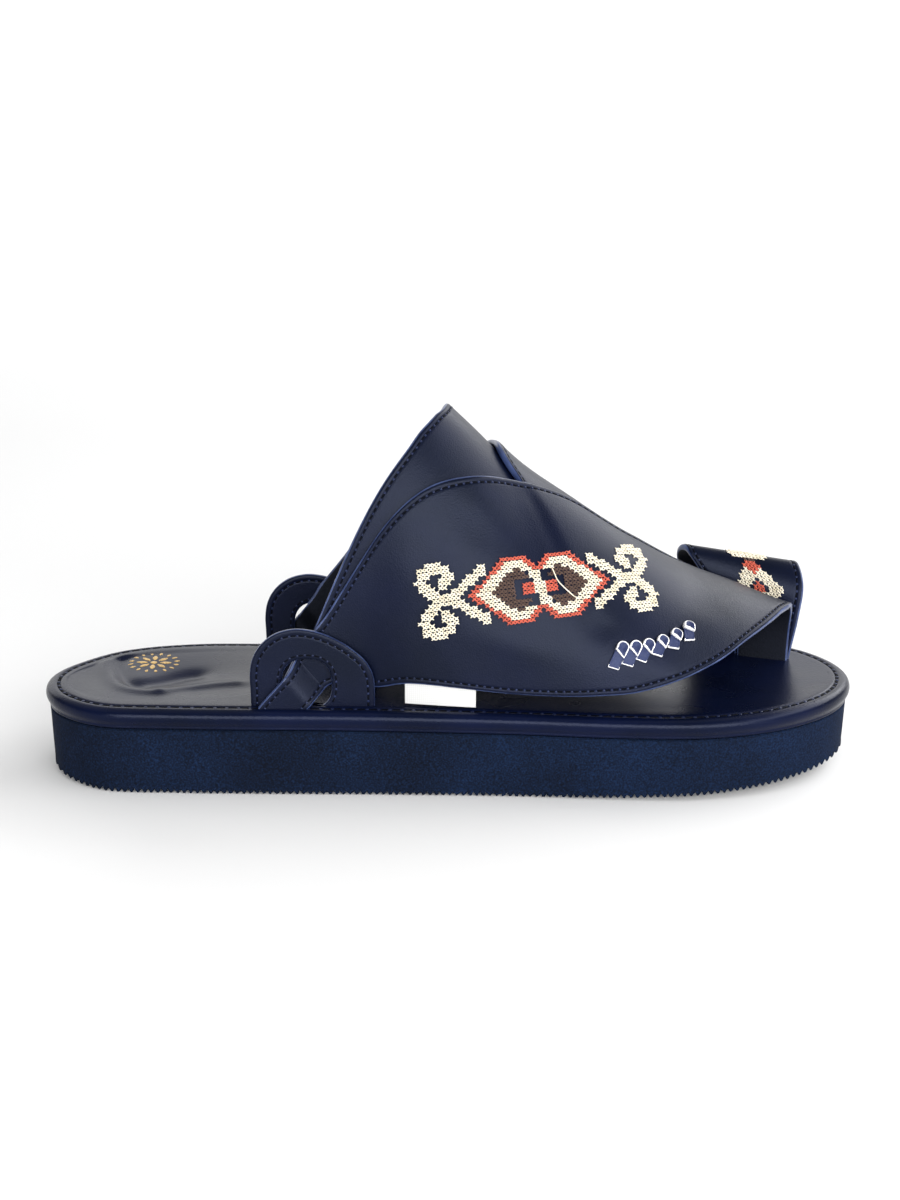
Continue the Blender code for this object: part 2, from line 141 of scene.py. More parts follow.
def finish(made, tone, stops, relief, strength, depth_mm, **sockets):
    """Close a material: a colour ramp over tone, a bump of relief, and plain sockets."""
    mat, tree, shader, _ = made
    colour = node(tree, "ShaderNodeValToRGB", {"stops": stops}, i0=tone)
    bump = node(tree, "ShaderNodeBump", Height=relief, Strength=strength, Distance=depth_mm * MM)
    plug(tree, shader, Base_Color=colour, Normal=bump, **sockets)
    return mat


NOISE, WAVE, MATH = "ShaderNodeTexNoise", "ShaderNodeTexWave", "ShaderNodeMath"
TIMES_PLUS, TIMES = {"operation": "MULTIPLY_ADD"}, {"operation": "MULTIPLY"}
STRIPES = 6.3  # a wave texture draws this many stripes in one unit of its scale

# %% [markdown]
# ## Leathers
# The straps are finished leather: a smooth pigment coat over fine grain, with a soft broad
# sheen. The footbed is the same hide with more gloss. The lining is plain black leather, and
# the cut edges carry a thick blue edge paint. Grain of 0.4 to 0.8 mm is as in the real hide.

# %% Leather materials
BLUE_SHINE = (0.66, 0.74, 1.0, 1.0)  # the pigment coat tints what it reflects
SWELL_MM = 14.0
GRAIN_DEPTH_MM = 0.25


def leather(name, deep, worn, rough, shine, coat, grain_mm=0.55, grain=0.12, sheen_mm=38.0):
    """Pigmented hide: colour drifts over sheen_mm, grain is a cell pattern of grain_mm on a swell."""
    made = _, tree, _, place = blank(name)
    drift = node(tree, NOISE, Vector=place, Scale=per(sheen_mm), Detail=3.0, Roughness=0.55)
    pores = node(tree, "ShaderNodeTexVoronoi", Vector=place, Scale=per(grain_mm), Randomness=1.0)
    fine = node(tree, NOISE, Vector=place, Scale=per(grain_mm * 0.4), Detail=4.0)
    swell = node(tree, NOISE, Vector=place, Scale=per(SWELL_MM), Detail=2.0)
    both = node(tree, MATH, TIMES_PLUS, i0=fine, i1=0.5, i2=pores)
    relief = node(tree, MATH, TIMES_PLUS, i0=swell, i1=2.2, i2=both)
    gloss = node(tree, "ShaderNodeMapRange", Value=drift, To_Min=rough - 0.05, To_Max=rough + 0.08)
    return finish(made, drift, [(0.3, deep), (0.72, worn)], relief, grain, GRAIN_DEPTH_MM,
                  Roughness=gloss, Specular_IOR_Level=shine, Specular_Tint=BLUE_SHINE,
                  Coat_Weight=coat, Coat_Roughness=0.2)


STRAP = leather("pigmented_strap_leather", "#030714", "#070c21", 0.37, 0.17, 0.0, grain=0.2)
BED = leather("glossy_footbed_leather", "#040817", "#080f29", 0.26, 0.14, 0.0, 0.7, 0.14)
LINING = leather("black_lining_leather", "#07080c", "#0e1017", 0.6, 0.2, 0.0, 0.8, 0.3)
EDGE = leather("blue_edge_paint", "#1f2a4c", "#3f4d74", 0.34, 0.4, 0.3, 0.4, 0.1, 6.0)
# The leather between stitch holes is coloured lighter than strap and footbed: a painted highlight on the
# bulges.
HIGHLIGHT_LIP = leather("stitched_lip_painted_highlight", "#0c1329", "#1a2445", 0.36, 0.25, 0.1, 0.4, sheen_mm=20.0)
LACE = leather("split_lace_leather", "#1d2341", "#2c3454", 0.5, 0.25, 0.05, 0.5, 0.35)
LACE_CUT = leather("raw_cut_leather", "#d6d6da", "#f7f6f3", 0.8, 0.2, 0.0, 0.3, 0.3)
print("leathers made:", [m.name for m in (STRAP, BED, LINING, EDGE, HIGHLIGHT_LIP, LACE, LACE_CUT)])

# %% [markdown]
# ## Thread, foam and tape
# Sewing thread is bonded nylon with a twist, dark and matt here. Embroidery thread is mercerised
# cotton, brighter and softer. The sole is foamed rubber with a matt skin that holds dust, so its
# navy is cloudy. The label is woven tape. The ply and the pores are drawn near their real size.

# %% Thread, foam and tape materials
PLY_DEPTH_MM = 0.08


def thread(name, hexa, dark, shine=0.4, twist_mm=0.22):
    """Spun thread: a fine stripe pattern of ply twist over a cloudy colour."""
    made = _, tree, _, place = blank(name)
    ply = node(tree, WAVE, {"bands_direction": "DIAGONAL"}, Vector=place,
               Scale=per(twist_mm) / STRIPES, Distortion=2.0, Detail=2.0).outputs["Fac"]
    cloud = node(tree, NOISE, Vector=place, Scale=per(2.4), Detail=2.0)
    mix = node(tree, MATH, TIMES_PLUS, i0=ply, i1=0.35, i2=cloud)
    return finish(made, mix, [(0.25, dark), (0.75, hexa)], ply, 0.4, PLY_DEPTH_MM,
                  Roughness=0.6, Specular_IOR_Level=shine)


SEAM = thread("navy_bonded_thread", "#05070f", "#020308", shine=0.05)
CREAM = thread("cream_cotton_thread", "#e0d8c6", "#b5a98a")
CORAL = thread("coral_cotton_thread", "#bd5540", "#96392a")
BROWN = thread("brown_cotton_thread", "#4f3a30", "#2c1d16")


def foam():
    """Foamed rubber skin: cloudy navy over 45 mm, with pores of 0.6 mm drawn as fine noise."""
    made = _, tree, _, place = blank("foamed_rubber_skin")
    cloud = node(tree, NOISE, Vector=place, Scale=per(45), Detail=3.0, Roughness=0.5)
    soft = node(tree, MATH, TIMES, i0=cloud, i1=0.22)
    pores = node(tree, NOISE, Vector=place, Scale=per(0.6), Detail=3.0)
    mix = node(tree, MATH, TIMES_PLUS, i0=pores, i1=0.45, i2=soft)
    stops = [(0.25, "#050a16"), (0.34, "#091325"), (0.46, "#11213c")]
    return finish(made, mix, stops, pores, 0.5, 0.2, Roughness=0.85, Specular_IOR_Level=0.08)


def tape(weave_mm=0.35):
    """Woven tape: two crossed wave patterns, one thread every weave_mm, drawn nearly white."""
    made = _, tree, _, place = blank("woven_satin_tape")
    warp, weft = (node(tree, WAVE, {"bands_direction": way}, Vector=place,
                       Scale=per(weave_mm) / STRIPES).outputs["Fac"] for way in "XZ")
    both = node(tree, MATH, TIMES, i0=warp, i1=weft)
    return finish(made, both, [(0.0, "#bcbcbb"), (1.0, "#d2d2d0")], both, 0.3, 0.05, Roughness=0.7)


FOAM, TAPE = foam(), tape()
print("threads, foam and tape made:", [m.name for m in (SEAM, CREAM, CORAL, BROWN, FOAM, TAPE)])

# %% [markdown]
# ## Curves through tables
# Each table row is a given size. A cubic curve through the rows gives the smooth line that a
# pattern cutter would draw through the same points.

# %% Curve and mesh helpers


def hermite(knots, values, at):
    """Cubic curve through the rows of a table, slopes from neighbouring rows, straight at the ends."""
    k = np.asarray(knots, float)
    v = np.asarray(values, float).reshape(len(k), -1)
    at = np.asarray(at, float).ravel()
    h = (k[1:] - k[:-1])[:, None]
    s = (v[1:] - v[:-1]) / h
    m = np.empty_like(v)
    m[1:-1] = (s[:-1] * h[1:] + s[1:] * h[:-1]) / (h[1:] + h[:-1])
    m[0] = 1.5 * s[0] - 0.5 * m[1]
    m[-1] = 1.5 * s[-1] - 0.5 * m[-2]
    i = np.clip(np.searchsorted(k, at, side="right") - 1, 0, len(k) - 2)
    d = (k[i + 1] - k[i])[:, None]
    t = (at[:, None] - k[i][:, None]) / d
    return ((1 + 2 * t) * (1 - t) ** 2 * v[i] + t * (1 - t) ** 2 * d * m[i]
            + t * t * (3 - 2 * t) * v[i + 1] + t * t * (t - 1) * d * m[i + 1])


def through(rows, n):
    """n points on the cubic curve through evenly counted rows."""
    return hermite(np.arange(len(rows)), rows, np.linspace(0, len(rows) - 1, n))


def rows_at(rows, u):
    """A table read at shares u of its length, on the cubic curve through its rows."""
    return hermite(np.arange(len(rows)), rows, u.ravel() * (len(rows) - 1)).reshape(u.shape + (-1,))


def alike(*values):
    """Numbers and arrays spread out to one shape."""
    return np.broadcast_arrays(*[np.asarray(v, float) for v in values])


def smooth(s):
    """Soft step from 0 to 1: three squares less two cubes."""
    s = np.clip(s, 0.0, 1.0)
    return s * s * (3 - 2 * s)


def grid_faces(rows, columns, start=0, closed=False):
    """Quads of a grid of points stored row by row; closed joins the last column to the first."""
    i = np.arange(rows - 1)[:, None] * columns
    j = np.arange(columns if closed else columns - 1)[None, :]
    k = (j + 1) % columns
    return (np.stack([i + j, i + columns + j, i + columns + k, i + k], 2) + start).reshape(-1, 4)


def slab(front, back):
    """Closed sheet between two grids of points: both faces, then the two long sides, then the ends."""
    n, m = front.shape[:2]
    far = n * m
    run, col = np.arange(n - 1) * m, np.arange(m - 1)
    sides = [np.stack([a, a + m, a + m + far, a + far], 1) for a in (run, run + m - 1)]
    ends = [np.stack([a, a + 1, a + 1 + far, a + far], 1) for a in (col, col + far - m)]
    verts = np.concatenate([front.reshape(-1, 3), back.reshape(-1, 3)])
    return verts, np.concatenate([grid_faces(n, m), grid_faces(n, m, far)[:, ::-1]] + sides + ends)


DOUBLES = 0.000004
SLIVERS = 0.000002


def piece(name, verts, faces, materials, index=None, flat=None):
    """A closed mesh from points in millimetres; doubles are merged and faces turned outwards."""
    mesh = bpy.data.meshes.new(name)
    faces = faces if isinstance(faces, list) else faces.tolist()
    mesh.from_pydata((np.asarray(verts) * MM).tolist(), [], faces)
    if index is not None:
        mesh.polygons.foreach_set("material_index", np.asarray(index, dtype=np.int32))
    bm = bmesh.new()
    bm.from_mesh(mesh)
    bmesh.ops.remove_doubles(bm, verts=bm.verts, dist=DOUBLES)
    bmesh.ops.dissolve_degenerate(bm, edges=bm.edges, dist=SLIVERS)
    bmesh.ops.recalc_face_normals(bm, faces=bm.faces)
    bm.to_mesh(mesh)
    bm.free()
    mesh.shade_smooth()
    if flat is not None:
        mesh.set_sharp_from_angle(angle=math.radians(flat))
    for mat in materials:
        mesh.materials.append(mat)
    print("%s: %d faces" % (name, len(mesh.polygons)))
    return shown(name, mesh)


def seat(obj, slot, *replaced):
    """Ride on the one body and stand for the solids named; slot is not used."""
    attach(obj, "root")
    if replaced:
        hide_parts(*replaced)


# %% [markdown]
# ## The foot form
# The straps were shaped over a wooden form, so they are bands on one smooth surface: arched
# sections from the ankle to the toes. A point has a station along the foot and a girth from
# -1 at the outer deck line over 0 at the crest to +1 at the inner deck line. At the ears the
# surface steps outwards, which leads the strap ends through the holes.

# %% Foot form
DECK = 31.0
LENGTH = 287.0
WIDTH = 98.0
PASS_CENTRE = (-50.9, 39.3)
PASS_TILT = math.radians(39.7)
PASS_RUN = 7.8
PASS_STEP = 5.5

FORM = np.array([
    # station, outer wall, inner wall, crest side, crest height, squareness of the inner half
    (-72.0, -30.0, 30.0, 0.0, 128.0, 2.0), (-45.0, -30.0, 30.0, 1.0, 121.0, 2.0),
    (-28.0, -29.7, 29.7, 1.5, 113.0, 2.0), (-12.0, -33.0, 32.6, 2.0, 104.0, 2.0),
    (5.0, -35.5, 35.0, 3.0, 88.5, 2.0), (20.0, -36.5, 36.0, 4.0, 73.5, 2.0),
    (40.0, -37.5, 37.0, 5.0, 59.0, 2.0), (60.0, -38.0, 37.5, 7.0, 45.0, 2.0),
    (80.0, -36.0, 33.0, 9.0, 31.0, 2.2), (100.0, -28.0, 20.2, 8.6, 23.4, 3.0),
    (115.0, -15.0, 13.6, 5.6, 18.0, 3.5), (126.0, -4.0, 9.4, 3.0, 15.4, 3.5),
])


def form(x, t, lift):
    """Superellipse section at station x, angle from girth t, then moved along the normal by lift."""
    x, t, lift = alike(x, t, lift)
    shape = x.shape
    x, t, lift = x.ravel(), t.ravel(), lift.ravel()

    def raw(x, t):
        """The form's own face: half a superellipse for each side, stepped outwards past the ear."""
        outer, inner, side, height, square = hermite(FORM[:, 0], FORM[:, 1:], x).T
        ph = (1 - np.clip(np.abs(t), 0, 1)) * np.pi / 2
        n = np.where(t < 0, 2.0, square)
        half = np.where(t < 0, outer - side, inner - side)
        y = side + half * np.cos(ph) ** (2 / n)
        z = DECK + height * np.sin(ph) ** (2 / n) - np.maximum(np.abs(t) - 1, 0) * 100
        run = math.cos(PASS_TILT) * (x - PASS_CENTRE[0]) + math.sin(PASS_TILT) * (z - PASS_CENTRE[1])
        y = y + np.sign(t) * PASS_STEP * smooth(0.5 - run / PASS_RUN)
        return np.stack([x, y, z], 1)

    e = 1e-3
    p = raw(x, t)
    normal = np.cross(raw(x + e, t) - raw(x - e, t), raw(x, t + e) - raw(x, t - e))
    normal /= np.linalg.norm(normal, axis=1)[:, None]
    return (p + normal * lift[:, None]).reshape(shape + (3,))


# %% [markdown]
# ## Strap tables
# A row gives both edges of a strap at one place along it, its lift over the form and its
# thickness. The outer wing is the top layer, the inner wing lies under it, the band lowest.

# %% Strap tables
ENDS = [
    # rear station, rear girth, front station, front girth: the strap end through the ear
    (-66.5, 1.024, -50.0, 1.024), (-65.5, 1.000, -48.5, 1.000), (-57.6, 0.953, -44.6, 0.980),
    (-54.2, 0.925, -41.8, 0.966),
]


def ear_rows(side, lift):
    """Rows of a strap end that goes through the ear on one side, at one lift."""
    return [(a, side * s, b, side * t, lift, 1.0) for a, s, b, t in ENDS]


BAND = ear_rows(-1, 0.0) + [
    (-50.3, -0.897, -38.5, -0.955, 0.0, 1.0), (-46.7, -0.866, -33.0, -0.940, 0.0, 1.0),
    (-40.6, -0.785, -20.0, -0.880, 0.0, 1.2), (-31.8, -0.659, -3.0, -0.740, 0.0, 2.4),
    (-17.1, -0.443, 14.0, -0.500, 0.0, 2.4), (-10.9, -0.319, 22.0, -0.340, 0.0, 2.4),
    (-6.2, -0.195, 26.5, -0.167, 0.0, 2.4), (-3.1, -0.045, 30.0, 0.000, 0.0, 2.4),
    (-2.5, 0.290, 24.0, 0.340, 0.0, 2.4), (-8.5, 0.443, 16.0, 0.500, 0.0, 2.4),
    (-24.5, 0.659, -3.0, 0.740, 0.0, 2.4), (-36.5, 0.785, -20.0, 0.880, 0.0, 1.2),
    (-46.7, 0.866, -33.0, 0.940, 0.0, 1.0), (-50.3, 0.897, -38.5, 0.955, 0.0, 1.0),
] + ear_rows(1, 0.0)[::-1]

WING_INNER = ear_rows(1, 1.6) + [
    (-50.3, 0.897, -38.5, 0.958, 1.6, 1.0), (-46.7, 0.866, -31.0, 0.955, 1.6, 1.0),
    (-38.0, 0.818, -22.0, 0.952, 1.7, 1.1), (-23.0, 0.713, 5.0, 0.942, 2.7, 2.2),
    (-4.5, 0.540, 38.0, 0.925, 2.7, 2.4), (6.5, 0.360, 62.0, 0.850, 2.7, 2.4),
    (12.0, 0.130, 80.0, 0.640, 2.7, 2.4), (14.5, -0.060, 91.0, 0.320, 2.7, 2.4),
    (21.0, -0.172, 96.0, -0.050, 2.7, 2.4), (30.4, -0.308, 95.0, -0.330, 2.7, 2.4),
    (40.0, -0.470, 90.0, -0.530, 2.7, 2.4), (47.0, -0.660, 86.0, -0.650, 2.7, 2.4),
    (51.0, -0.850, 83.0, -0.730, 2.7, 2.4),
]

WING_OUTER = ear_rows(-1, 1.6) + [
    (-50.3, -0.897, -38.5, -0.961, 1.6, 1.0), (-46.7, -0.867, -31.0, -0.963, 1.6, 1.0),
    (-40.7, -0.819, -24.0, -0.966, 1.7, 1.1), (-30.2, -0.713, -13.0, -0.949, 2.6, 2.0),
    (-19.8, -0.604, 1.7, -0.945, 3.0, 2.4), (-7.5, -0.477, 19.6, -0.945, 3.6, 2.4),
    (6.6, -0.348, 37.8, -0.939, 4.7, 2.4), (19.5, -0.229, 51.3, -0.924, 5.4, 2.4),
    (37.6, -0.115, 64.1, -0.897, 5.4, 2.4), (58.0, -0.080, 76.5, -0.827, 5.4, 2.4),
    (76.0, 0.060, 90.1, -0.706, 5.4, 2.4), (89.0, 0.330, 99.5, -0.562, 5.4, 2.4),
    (97.5, 0.640, 108.0, -0.400, 5.4, 2.4), (101.2, 0.840, 114.5, -0.220, 5.4, 2.4),
    (102.2, 0.930, 119.8, 0.020, 5.6, 2.2), (102.7, 0.975, 121.0, 0.350, 6.0, 1.8),
    (103.0, 0.990, 121.0, 0.750, 6.4, 1.4), (103.0, 0.998, 120.8, 0.990, 6.4, 1.4),
    (103.0, 1.020, 120.7, 1.020, 6.4, 1.4),
]

TOE_LOOP = [
    # rear x, y, z, front x, y, z of the inner face, thickness
    (105.5, 27.7, 28.6, 124.2, 20.7, 28.6, 1.3), (105.0, 27.7, 33.0, 125.0, 20.7, 33.0, 1.3),
    (101.5, 29.6, 45.0, 127.4, 21.5, 45.0, 1.8), (94.0, 30.6, 57.5, 129.0, 24.2, 55.5, 2.4),
    (86.8, 34.0, 66.6, 127.6, 30.0, 61.3, 2.4), (84.0, 39.3, 64.8, 126.2, 36.4, 58.8, 2.4),
    (85.6, 43.4, 56.5, 124.0, 39.8, 51.0, 2.4), (88.6, 44.4, 45.0, 121.6, 40.4, 42.0, 2.2),
    (90.8, 43.4, 34.0, 120.0, 38.8, 34.0, 1.5), (91.5, 43.0, 28.6, 119.5, 38.2, 28.6, 1.3),
]


def over_form(rows, settle=None):
    """Strap surface: (u, v, h) gives the point at share u along, v across, h mm from its inner face."""
    rows = np.array(rows)

    def surface(u, v, h):
        """Station, girth and lift mixed between the two edges, then set on the form."""
        u, v, h = alike(u, v, h)
        c = rows_at(rows, u)
        x = c[..., 0] * (1 - v) + c[..., 2] * v
        t = c[..., 1] * (1 - v) + c[..., 3] * v
        lift = c[..., 4] + h
        if settle is not None:
            lift = lift + settle(x, t)
        return form(x, t, lift)

    return surface, lambda u: rows_at(rows, u)[..., 5]


def over_toe(rows):
    """Toe loop surface: ruled across between its rear and front edges, raised along its normal."""
    rows = np.array(rows)

    def at(u, v):
        """The straight line from rear edge to front edge, at share v."""
        c = rows_at(rows, u)
        return c[..., 0:3] * (1 - v[..., None]) + c[..., 3:6] * v[..., None]

    def surface(u, v, h):
        """That line moved h mm along the normal, which lies level at the two ends."""
        u, v, h = alike(u, v, h)
        e = 1e-3
        w = np.clip(u, e, 1 - e)
        normal = np.cross(at(w, v + e) - at(w, v - e), at(w + e, v) - at(w - e, v))
        normal /= np.linalg.norm(normal, axis=-1)[..., None]
        normal[..., 2] *= smooth(np.minimum(u, 1 - u) / 0.04)
        return at(u, v) + normal * h[..., None]

    return surface, lambda u: rows_at(rows, u)[..., 6]


# %% [markdown]
# ## A strap as a shell
# Real straps are an outer leather glued to a lining, stitched 2.3 mm from the edge and painted
# on the cut. The section is drawn with close columns near both edges, so the edge is rounded and
# the stitch line pulls a shallow groove.

# %% Strap shell
STITCH_INSET = 2.3
STITCH_PITCH = 2.7
STITCH_SINK = 0.12
EDGE_COLUMNS = np.array([0.0, 0.2, 0.5, 0.95, 1.5, 1.9, 2.3, 2.7, 3.1, 3.7, 4.6])
FULL_THICK = 2.4
ROUND, ROUND_RUN = 0.24, 0.4  # the cut's rounding: share of the thickness, mm inwards
DENT, DENT_RUN = 0.22, 0.42  # the groove that the stitches pull, in mm
SWELL, SWELL_AT, SWELL_RUN = 0.10, 1.1, 0.6  # the rise between cut and stitches, in mm


def reach(surface, u):
    """Width of a strap at each share along it: the length of the line across."""
    p = surface(u[:, None], np.linspace(0, 1, 25)[None, :], 0.0)
    return np.linalg.norm(np.diff(p, axis=1), axis=2).sum(1)


def shell(name, surface, thickness, nu, nv):
    """Closed strap: outer face and lining between two painted edges, with bell curves near them."""
    u = np.linspace(0, 1, nu)
    wide = reach(surface, u)[:, None]
    left = EDGE_COLUMNS[None, :] / wide
    mid = left[:, -1:] + (1 - 2 * left[:, -1:]) * np.linspace(0, 1, nv)[None, 1:-1]
    v = np.concatenate([left, mid, 1 - left[:, ::-1]], 1)
    d = np.minimum(v, 1 - v) * wide
    thick = thickness(u)[:, None]
    cut = ROUND * thick * np.exp(-d / ROUND_RUN)
    dent = DENT * np.exp(-((d - STITCH_INSET) / DENT_RUN) ** 2) * np.clip(thick / FULL_THICK, 0.4, 1)
    swell = SWELL * np.exp(-((d - SWELL_AT) / SWELL_RUN) ** 2)
    verts, faces = slab(surface(u[:, None], v, thick - cut - dent + swell), surface(u[:, None], v, cut))
    column = np.arange(v.shape[1] - 1)
    painted = np.tile((column < 2) | (column > len(column) - 3), nu - 1)
    faced = [np.where(painted, 1, 0), np.where(painted, 1, 2)]
    index = np.concatenate(faced + [np.ones(len(faces) - 2 * len(painted), int)])
    return piece(name, verts, faces, [STRAP, EDGE, LINING], index, flat=50)


def dot(a, b):
    """Row-by-row dot product."""
    return (a * b).sum(-1)


def unit(a):
    """Rows scaled to length one."""
    return a / np.linalg.norm(a, axis=-1)[..., None]


def capsules(centre, along, out, length, width, height, sides=8, rings=6):
    """Plump thread segments: ellipsoids scaled to length, width and height on their own axes."""
    along = unit(along)
    across = unit(np.cross(out, along))
    out = np.cross(along, across)
    th = np.linspace(0, np.pi, rings)
    ph = np.linspace(0, 2 * np.pi, sides, endpoint=False)
    a = -np.sign(np.cos(th)) * np.abs(np.cos(th)) ** 0.8
    r = np.sin(th) ** 0.7
    half = [np.broadcast_to(s, len(centre))[:, None, None, None] / 2 for s in (length, width, height)]
    along, across, out = (d[:, None, None, :] for d in (along, across, out))
    verts = (centre[:, None, None, :]
             + half[0] * a[None, :, None, None] * along
             + half[1] * (r[:, None] * np.cos(ph))[None, :, :, None] * across
             + half[2] * (r[:, None] * np.sin(ph))[None, :, :, None] * out)
    one = grid_faces(rings, sides, closed=True)
    faces = (one[None] + (np.arange(len(centre)) * rings * sides)[:, None, None]).reshape(-1, 4)
    return verts.reshape(-1, 3), faces


def arc_run(points):
    """Length walked along a line of points, from 0 at the first."""
    return np.concatenate([[0], np.cumsum(np.linalg.norm(np.diff(points, axis=0), axis=1))])


def spaced(points, pitch):
    """Indices into a dense line of points that are a pitch apart along it."""
    run = arc_run(points)
    at = np.arange(pitch * 0.7, run[-1] - pitch * 0.5, pitch)
    return np.searchsorted(run, at)


def seam(surface, thickness, side, start, stop):
    """Stitch places along one edge of a strap: centre, direction and normal arrays."""
    u = np.linspace(start, stop, 3000)
    v = STITCH_INSET / reach(surface, u)
    v = 1 - v if side else v
    low = thickness(u) - STITCH_SINK
    p, q = surface(u, v, low), surface(u, v, low + 1)
    keep = spaced(p, STITCH_PITCH / 2)
    return p[keep], np.gradient(p, axis=0)[keep], (q - p)[keep]


SEAM_RISE = 0.02


def sewn(name, rows, slot, long=1.85, bulge=0.8, wide=0.72):
    """Seam mesh: dark threads on even places, and on odd the leather that bulges between the holes,
    drawn lighter as a painted highlight.
    """
    verts, faces, index, count = [], [], [], 0
    for centre, along, out in rows:
        out = unit(out)
        centre = centre + SEAM_RISE * out
        # The odd capsules take the lighter lip leather, a painted highlight between the threads.
        for kind, size in ((0, (long, wide, 0.4)), (1, (bulge, wide + 0.2, 0.42))):
            v, f = capsules(centre[kind::2], along[kind::2], out[kind::2], *size)
            verts.append(v)
            faces.append(f + count)
            index.append(np.full(len(f), kind))
            count += len(v)
    made = piece(name, np.concatenate(verts), np.concatenate(faces), [SEAM, HIGHLIGHT_LIP], np.concatenate(index))
    seat(made, slot)


# %% [markdown]
# ## The band, the two wings and the toe loop
# The outer wing lies over the inner wing's rear edge, and that edge shows through it as a soft
# ridge. Behind the ridge the wing settles back towards the band.

# %% Straps
RIDGE = np.array([
    # girth, station of the inner wing's rear edge
    (-0.85, 51.0), (-0.66, 47.0), (-0.47, 40.0), (-0.308, 30.4), (-0.172, 21.0), (-0.06, 14.5),
])
RIDGE_DROP = 0.85
DENTS = [
    # depth, station, girth, half size along, half size in girth: soft hollows
    (0.7, 50.0, -0.66, 6.0, 0.06), (-0.5, 20.0, -0.80, 16.0, 0.05), (0.5, 8.0, -0.52, 9.0, 0.06),
    (-0.4, 84.0, -0.50, 9.0, 0.10), (0.4, 68.0, -0.86, 12.0, 0.05), (-0.4, -14.0, -0.72, 8.0, 0.06),
]


def settle_outer(x, t):
    """The outer wing drops behind the hidden edge: a soft step across it, fading down the side."""
    edge = np.interp(t, RIDGE[:, 0], RIDGE[:, 1])
    step = 1 - smooth((x - edge + 5.0) / 7.0)
    back = smooth((x - edge + 30) / 20)
    fade = smooth((t + 0.62) / 0.25) * smooth((-0.17 - t) / 0.12)
    drop = -RIDGE_DROP * step * back * fade
    for depth, x0, t0, dx, dt in DENTS:
        drop = drop - depth * np.exp(-(((x - x0) / dx) ** 2) - ((t - t0) / dt) ** 2)
    return drop


STRAPS = [
    # piece, solid, (surface, thickness), points along, inner points across, slot, seam's two ends
    ("instep_band", "instep_band", over_form(BAND), 240, 22, "strap_leather", 0.01, 0.99),
    ("inner_wing", "wing_inner", over_form(WING_INNER), 260, 30, "strap_leather", 0.01, 1.0),
    ("outer_wing", "wing_outer", over_form(WING_OUTER, settle_outer), 320, 40, "embroidered_leather",
     0.01, 0.99),
    ("toe_loop", "toe_loop", over_toe(TOE_LOOP), 160, 22, "embroidered_leather", 0.02, 0.98),
]
for name, solid, strap, nu, nv, slot, _, _ in STRAPS:
    seat(shell(name + "_shell", *strap, nu, nv), slot, solid)
loop_s, loop_t = STRAPS[-1][2]

# %% [markdown]
# Every strap edge is turned and sewn with one row of bonded thread. The holes pull the leather
# down, so the threads sit low and the leather between them bulges a little; those bulges are
# coloured lighter than the strap, a painted highlight.

# %% Strap seams
for name, _, strap, _, _, slot, start, stop in STRAPS:
    sewn(name + "_seam", [seam(*strap, side, start, stop) for side in (0, 1)], slot)

# %% [markdown]
# ## Sole outline
# One closed plan curve serves the sole and the footbed. Sides are shares of the width at shares
# of the length, and rings are moved inwards from it.

# %% Sole outline
PLAN = np.array([
    # along, outer side, inner side
    (0.000, -0.055, -0.055), (0.024, -0.264, 0.140), (0.080, -0.388, 0.306), (0.168, -0.414, 0.384),
    (0.290, -0.425, 0.388), (0.430, -0.432, 0.385), (0.587, -0.450, 0.432), (0.710, -0.483, 0.490),
    (0.797, -0.487, 0.505), (0.878, -0.425, 0.470), (0.948, -0.290, 0.362), (0.986, -0.140, 0.215),
    (1.000, 0.040, 0.040),
])


def plan(n, inset):
    """Closed plan curve of 2n points from the heel along the outer side and back, moved inwards."""
    angle = np.arccos(1 - 2 * PLAN[:, 0])
    knots = np.concatenate([angle, 2 * np.pi - angle[-2::-1]])
    side = np.concatenate([PLAN[:, 1], PLAN[-2::-1, 2]])
    knots = np.concatenate([knots[-4:-1] - 2 * np.pi, knots, knots[1:4] + 2 * np.pi])
    side = np.concatenate([side[-4:-1], side, side[1:4]])
    a = np.linspace(0, 2 * np.pi, 2 * n, endpoint=False)
    p = np.stack([-np.cos(a) * LENGTH / 2, hermite(knots, side, a)[:, 0] * WIDTH], 1)
    t = unit(np.roll(p, -1, 0) - np.roll(p, 1, 0))
    return p + inset * np.stack([-t[:, 1], t[:, 0]], 1)


def sag(x):
    """Drop of the deck from heel to ball."""
    return -smooth((x + 60) / 120)


def stack(rings, top, bottom):
    """Closed solid of stacked plan rings; top and bottom, (columns, shape), are ruled across."""
    n = len(rings[0])
    half = n // 2
    verts = [np.concatenate(rings)]
    faces = [grid_faces(len(rings), n, closed=True)]
    outer = np.arange(half + 1)
    inner = np.concatenate([[0], np.arange(n - 1, half - 1, -1)])
    count = len(rings) * n
    for ring, (columns, shape) in ((rings[-1], top), (rings[0], bottom)):
        s = np.linspace(0, 1, columns + 1)[None, :, None]
        cap = shape(ring[outer][:, None, :] * (1 - s) + ring[inner][:, None, :] * s, s[..., 0])
        verts.append(cap.reshape(-1, 3))
        faces.append(grid_faces(half + 1, columns + 1, count))
        count += cap.shape[0] * cap.shape[1]
    return np.concatenate(verts), np.concatenate(faces)


# %% [markdown]
# ## Outsole
# A slab of foamed rubber, cut with slightly tapered walls. Its tread is a fine washboard: ribs
# 2.3 mm apart across the sole, which show as teeth along the lifted edges at toe and heel.

# %% Outsole
SOLE_TOP = 23.5
RIB_PITCH = 2.3
RIB_DEPTH = 1.5


def tread(x):
    """Underside height: flat under heel and ball, lifted at both ends."""
    toe = 5.5 * np.clip((x - 22) / 121, 0, 1) ** 1.7
    heel = 1.8 * np.clip((-118 - x) / 25, 0, 1) ** 1.6
    return toe + heel


def ribs(x):
    """Washboard: rounded crests down, narrow grooves up."""
    return RIB_DEPTH * np.abs(np.sin(np.pi * x / RIB_PITCH)) ** 4


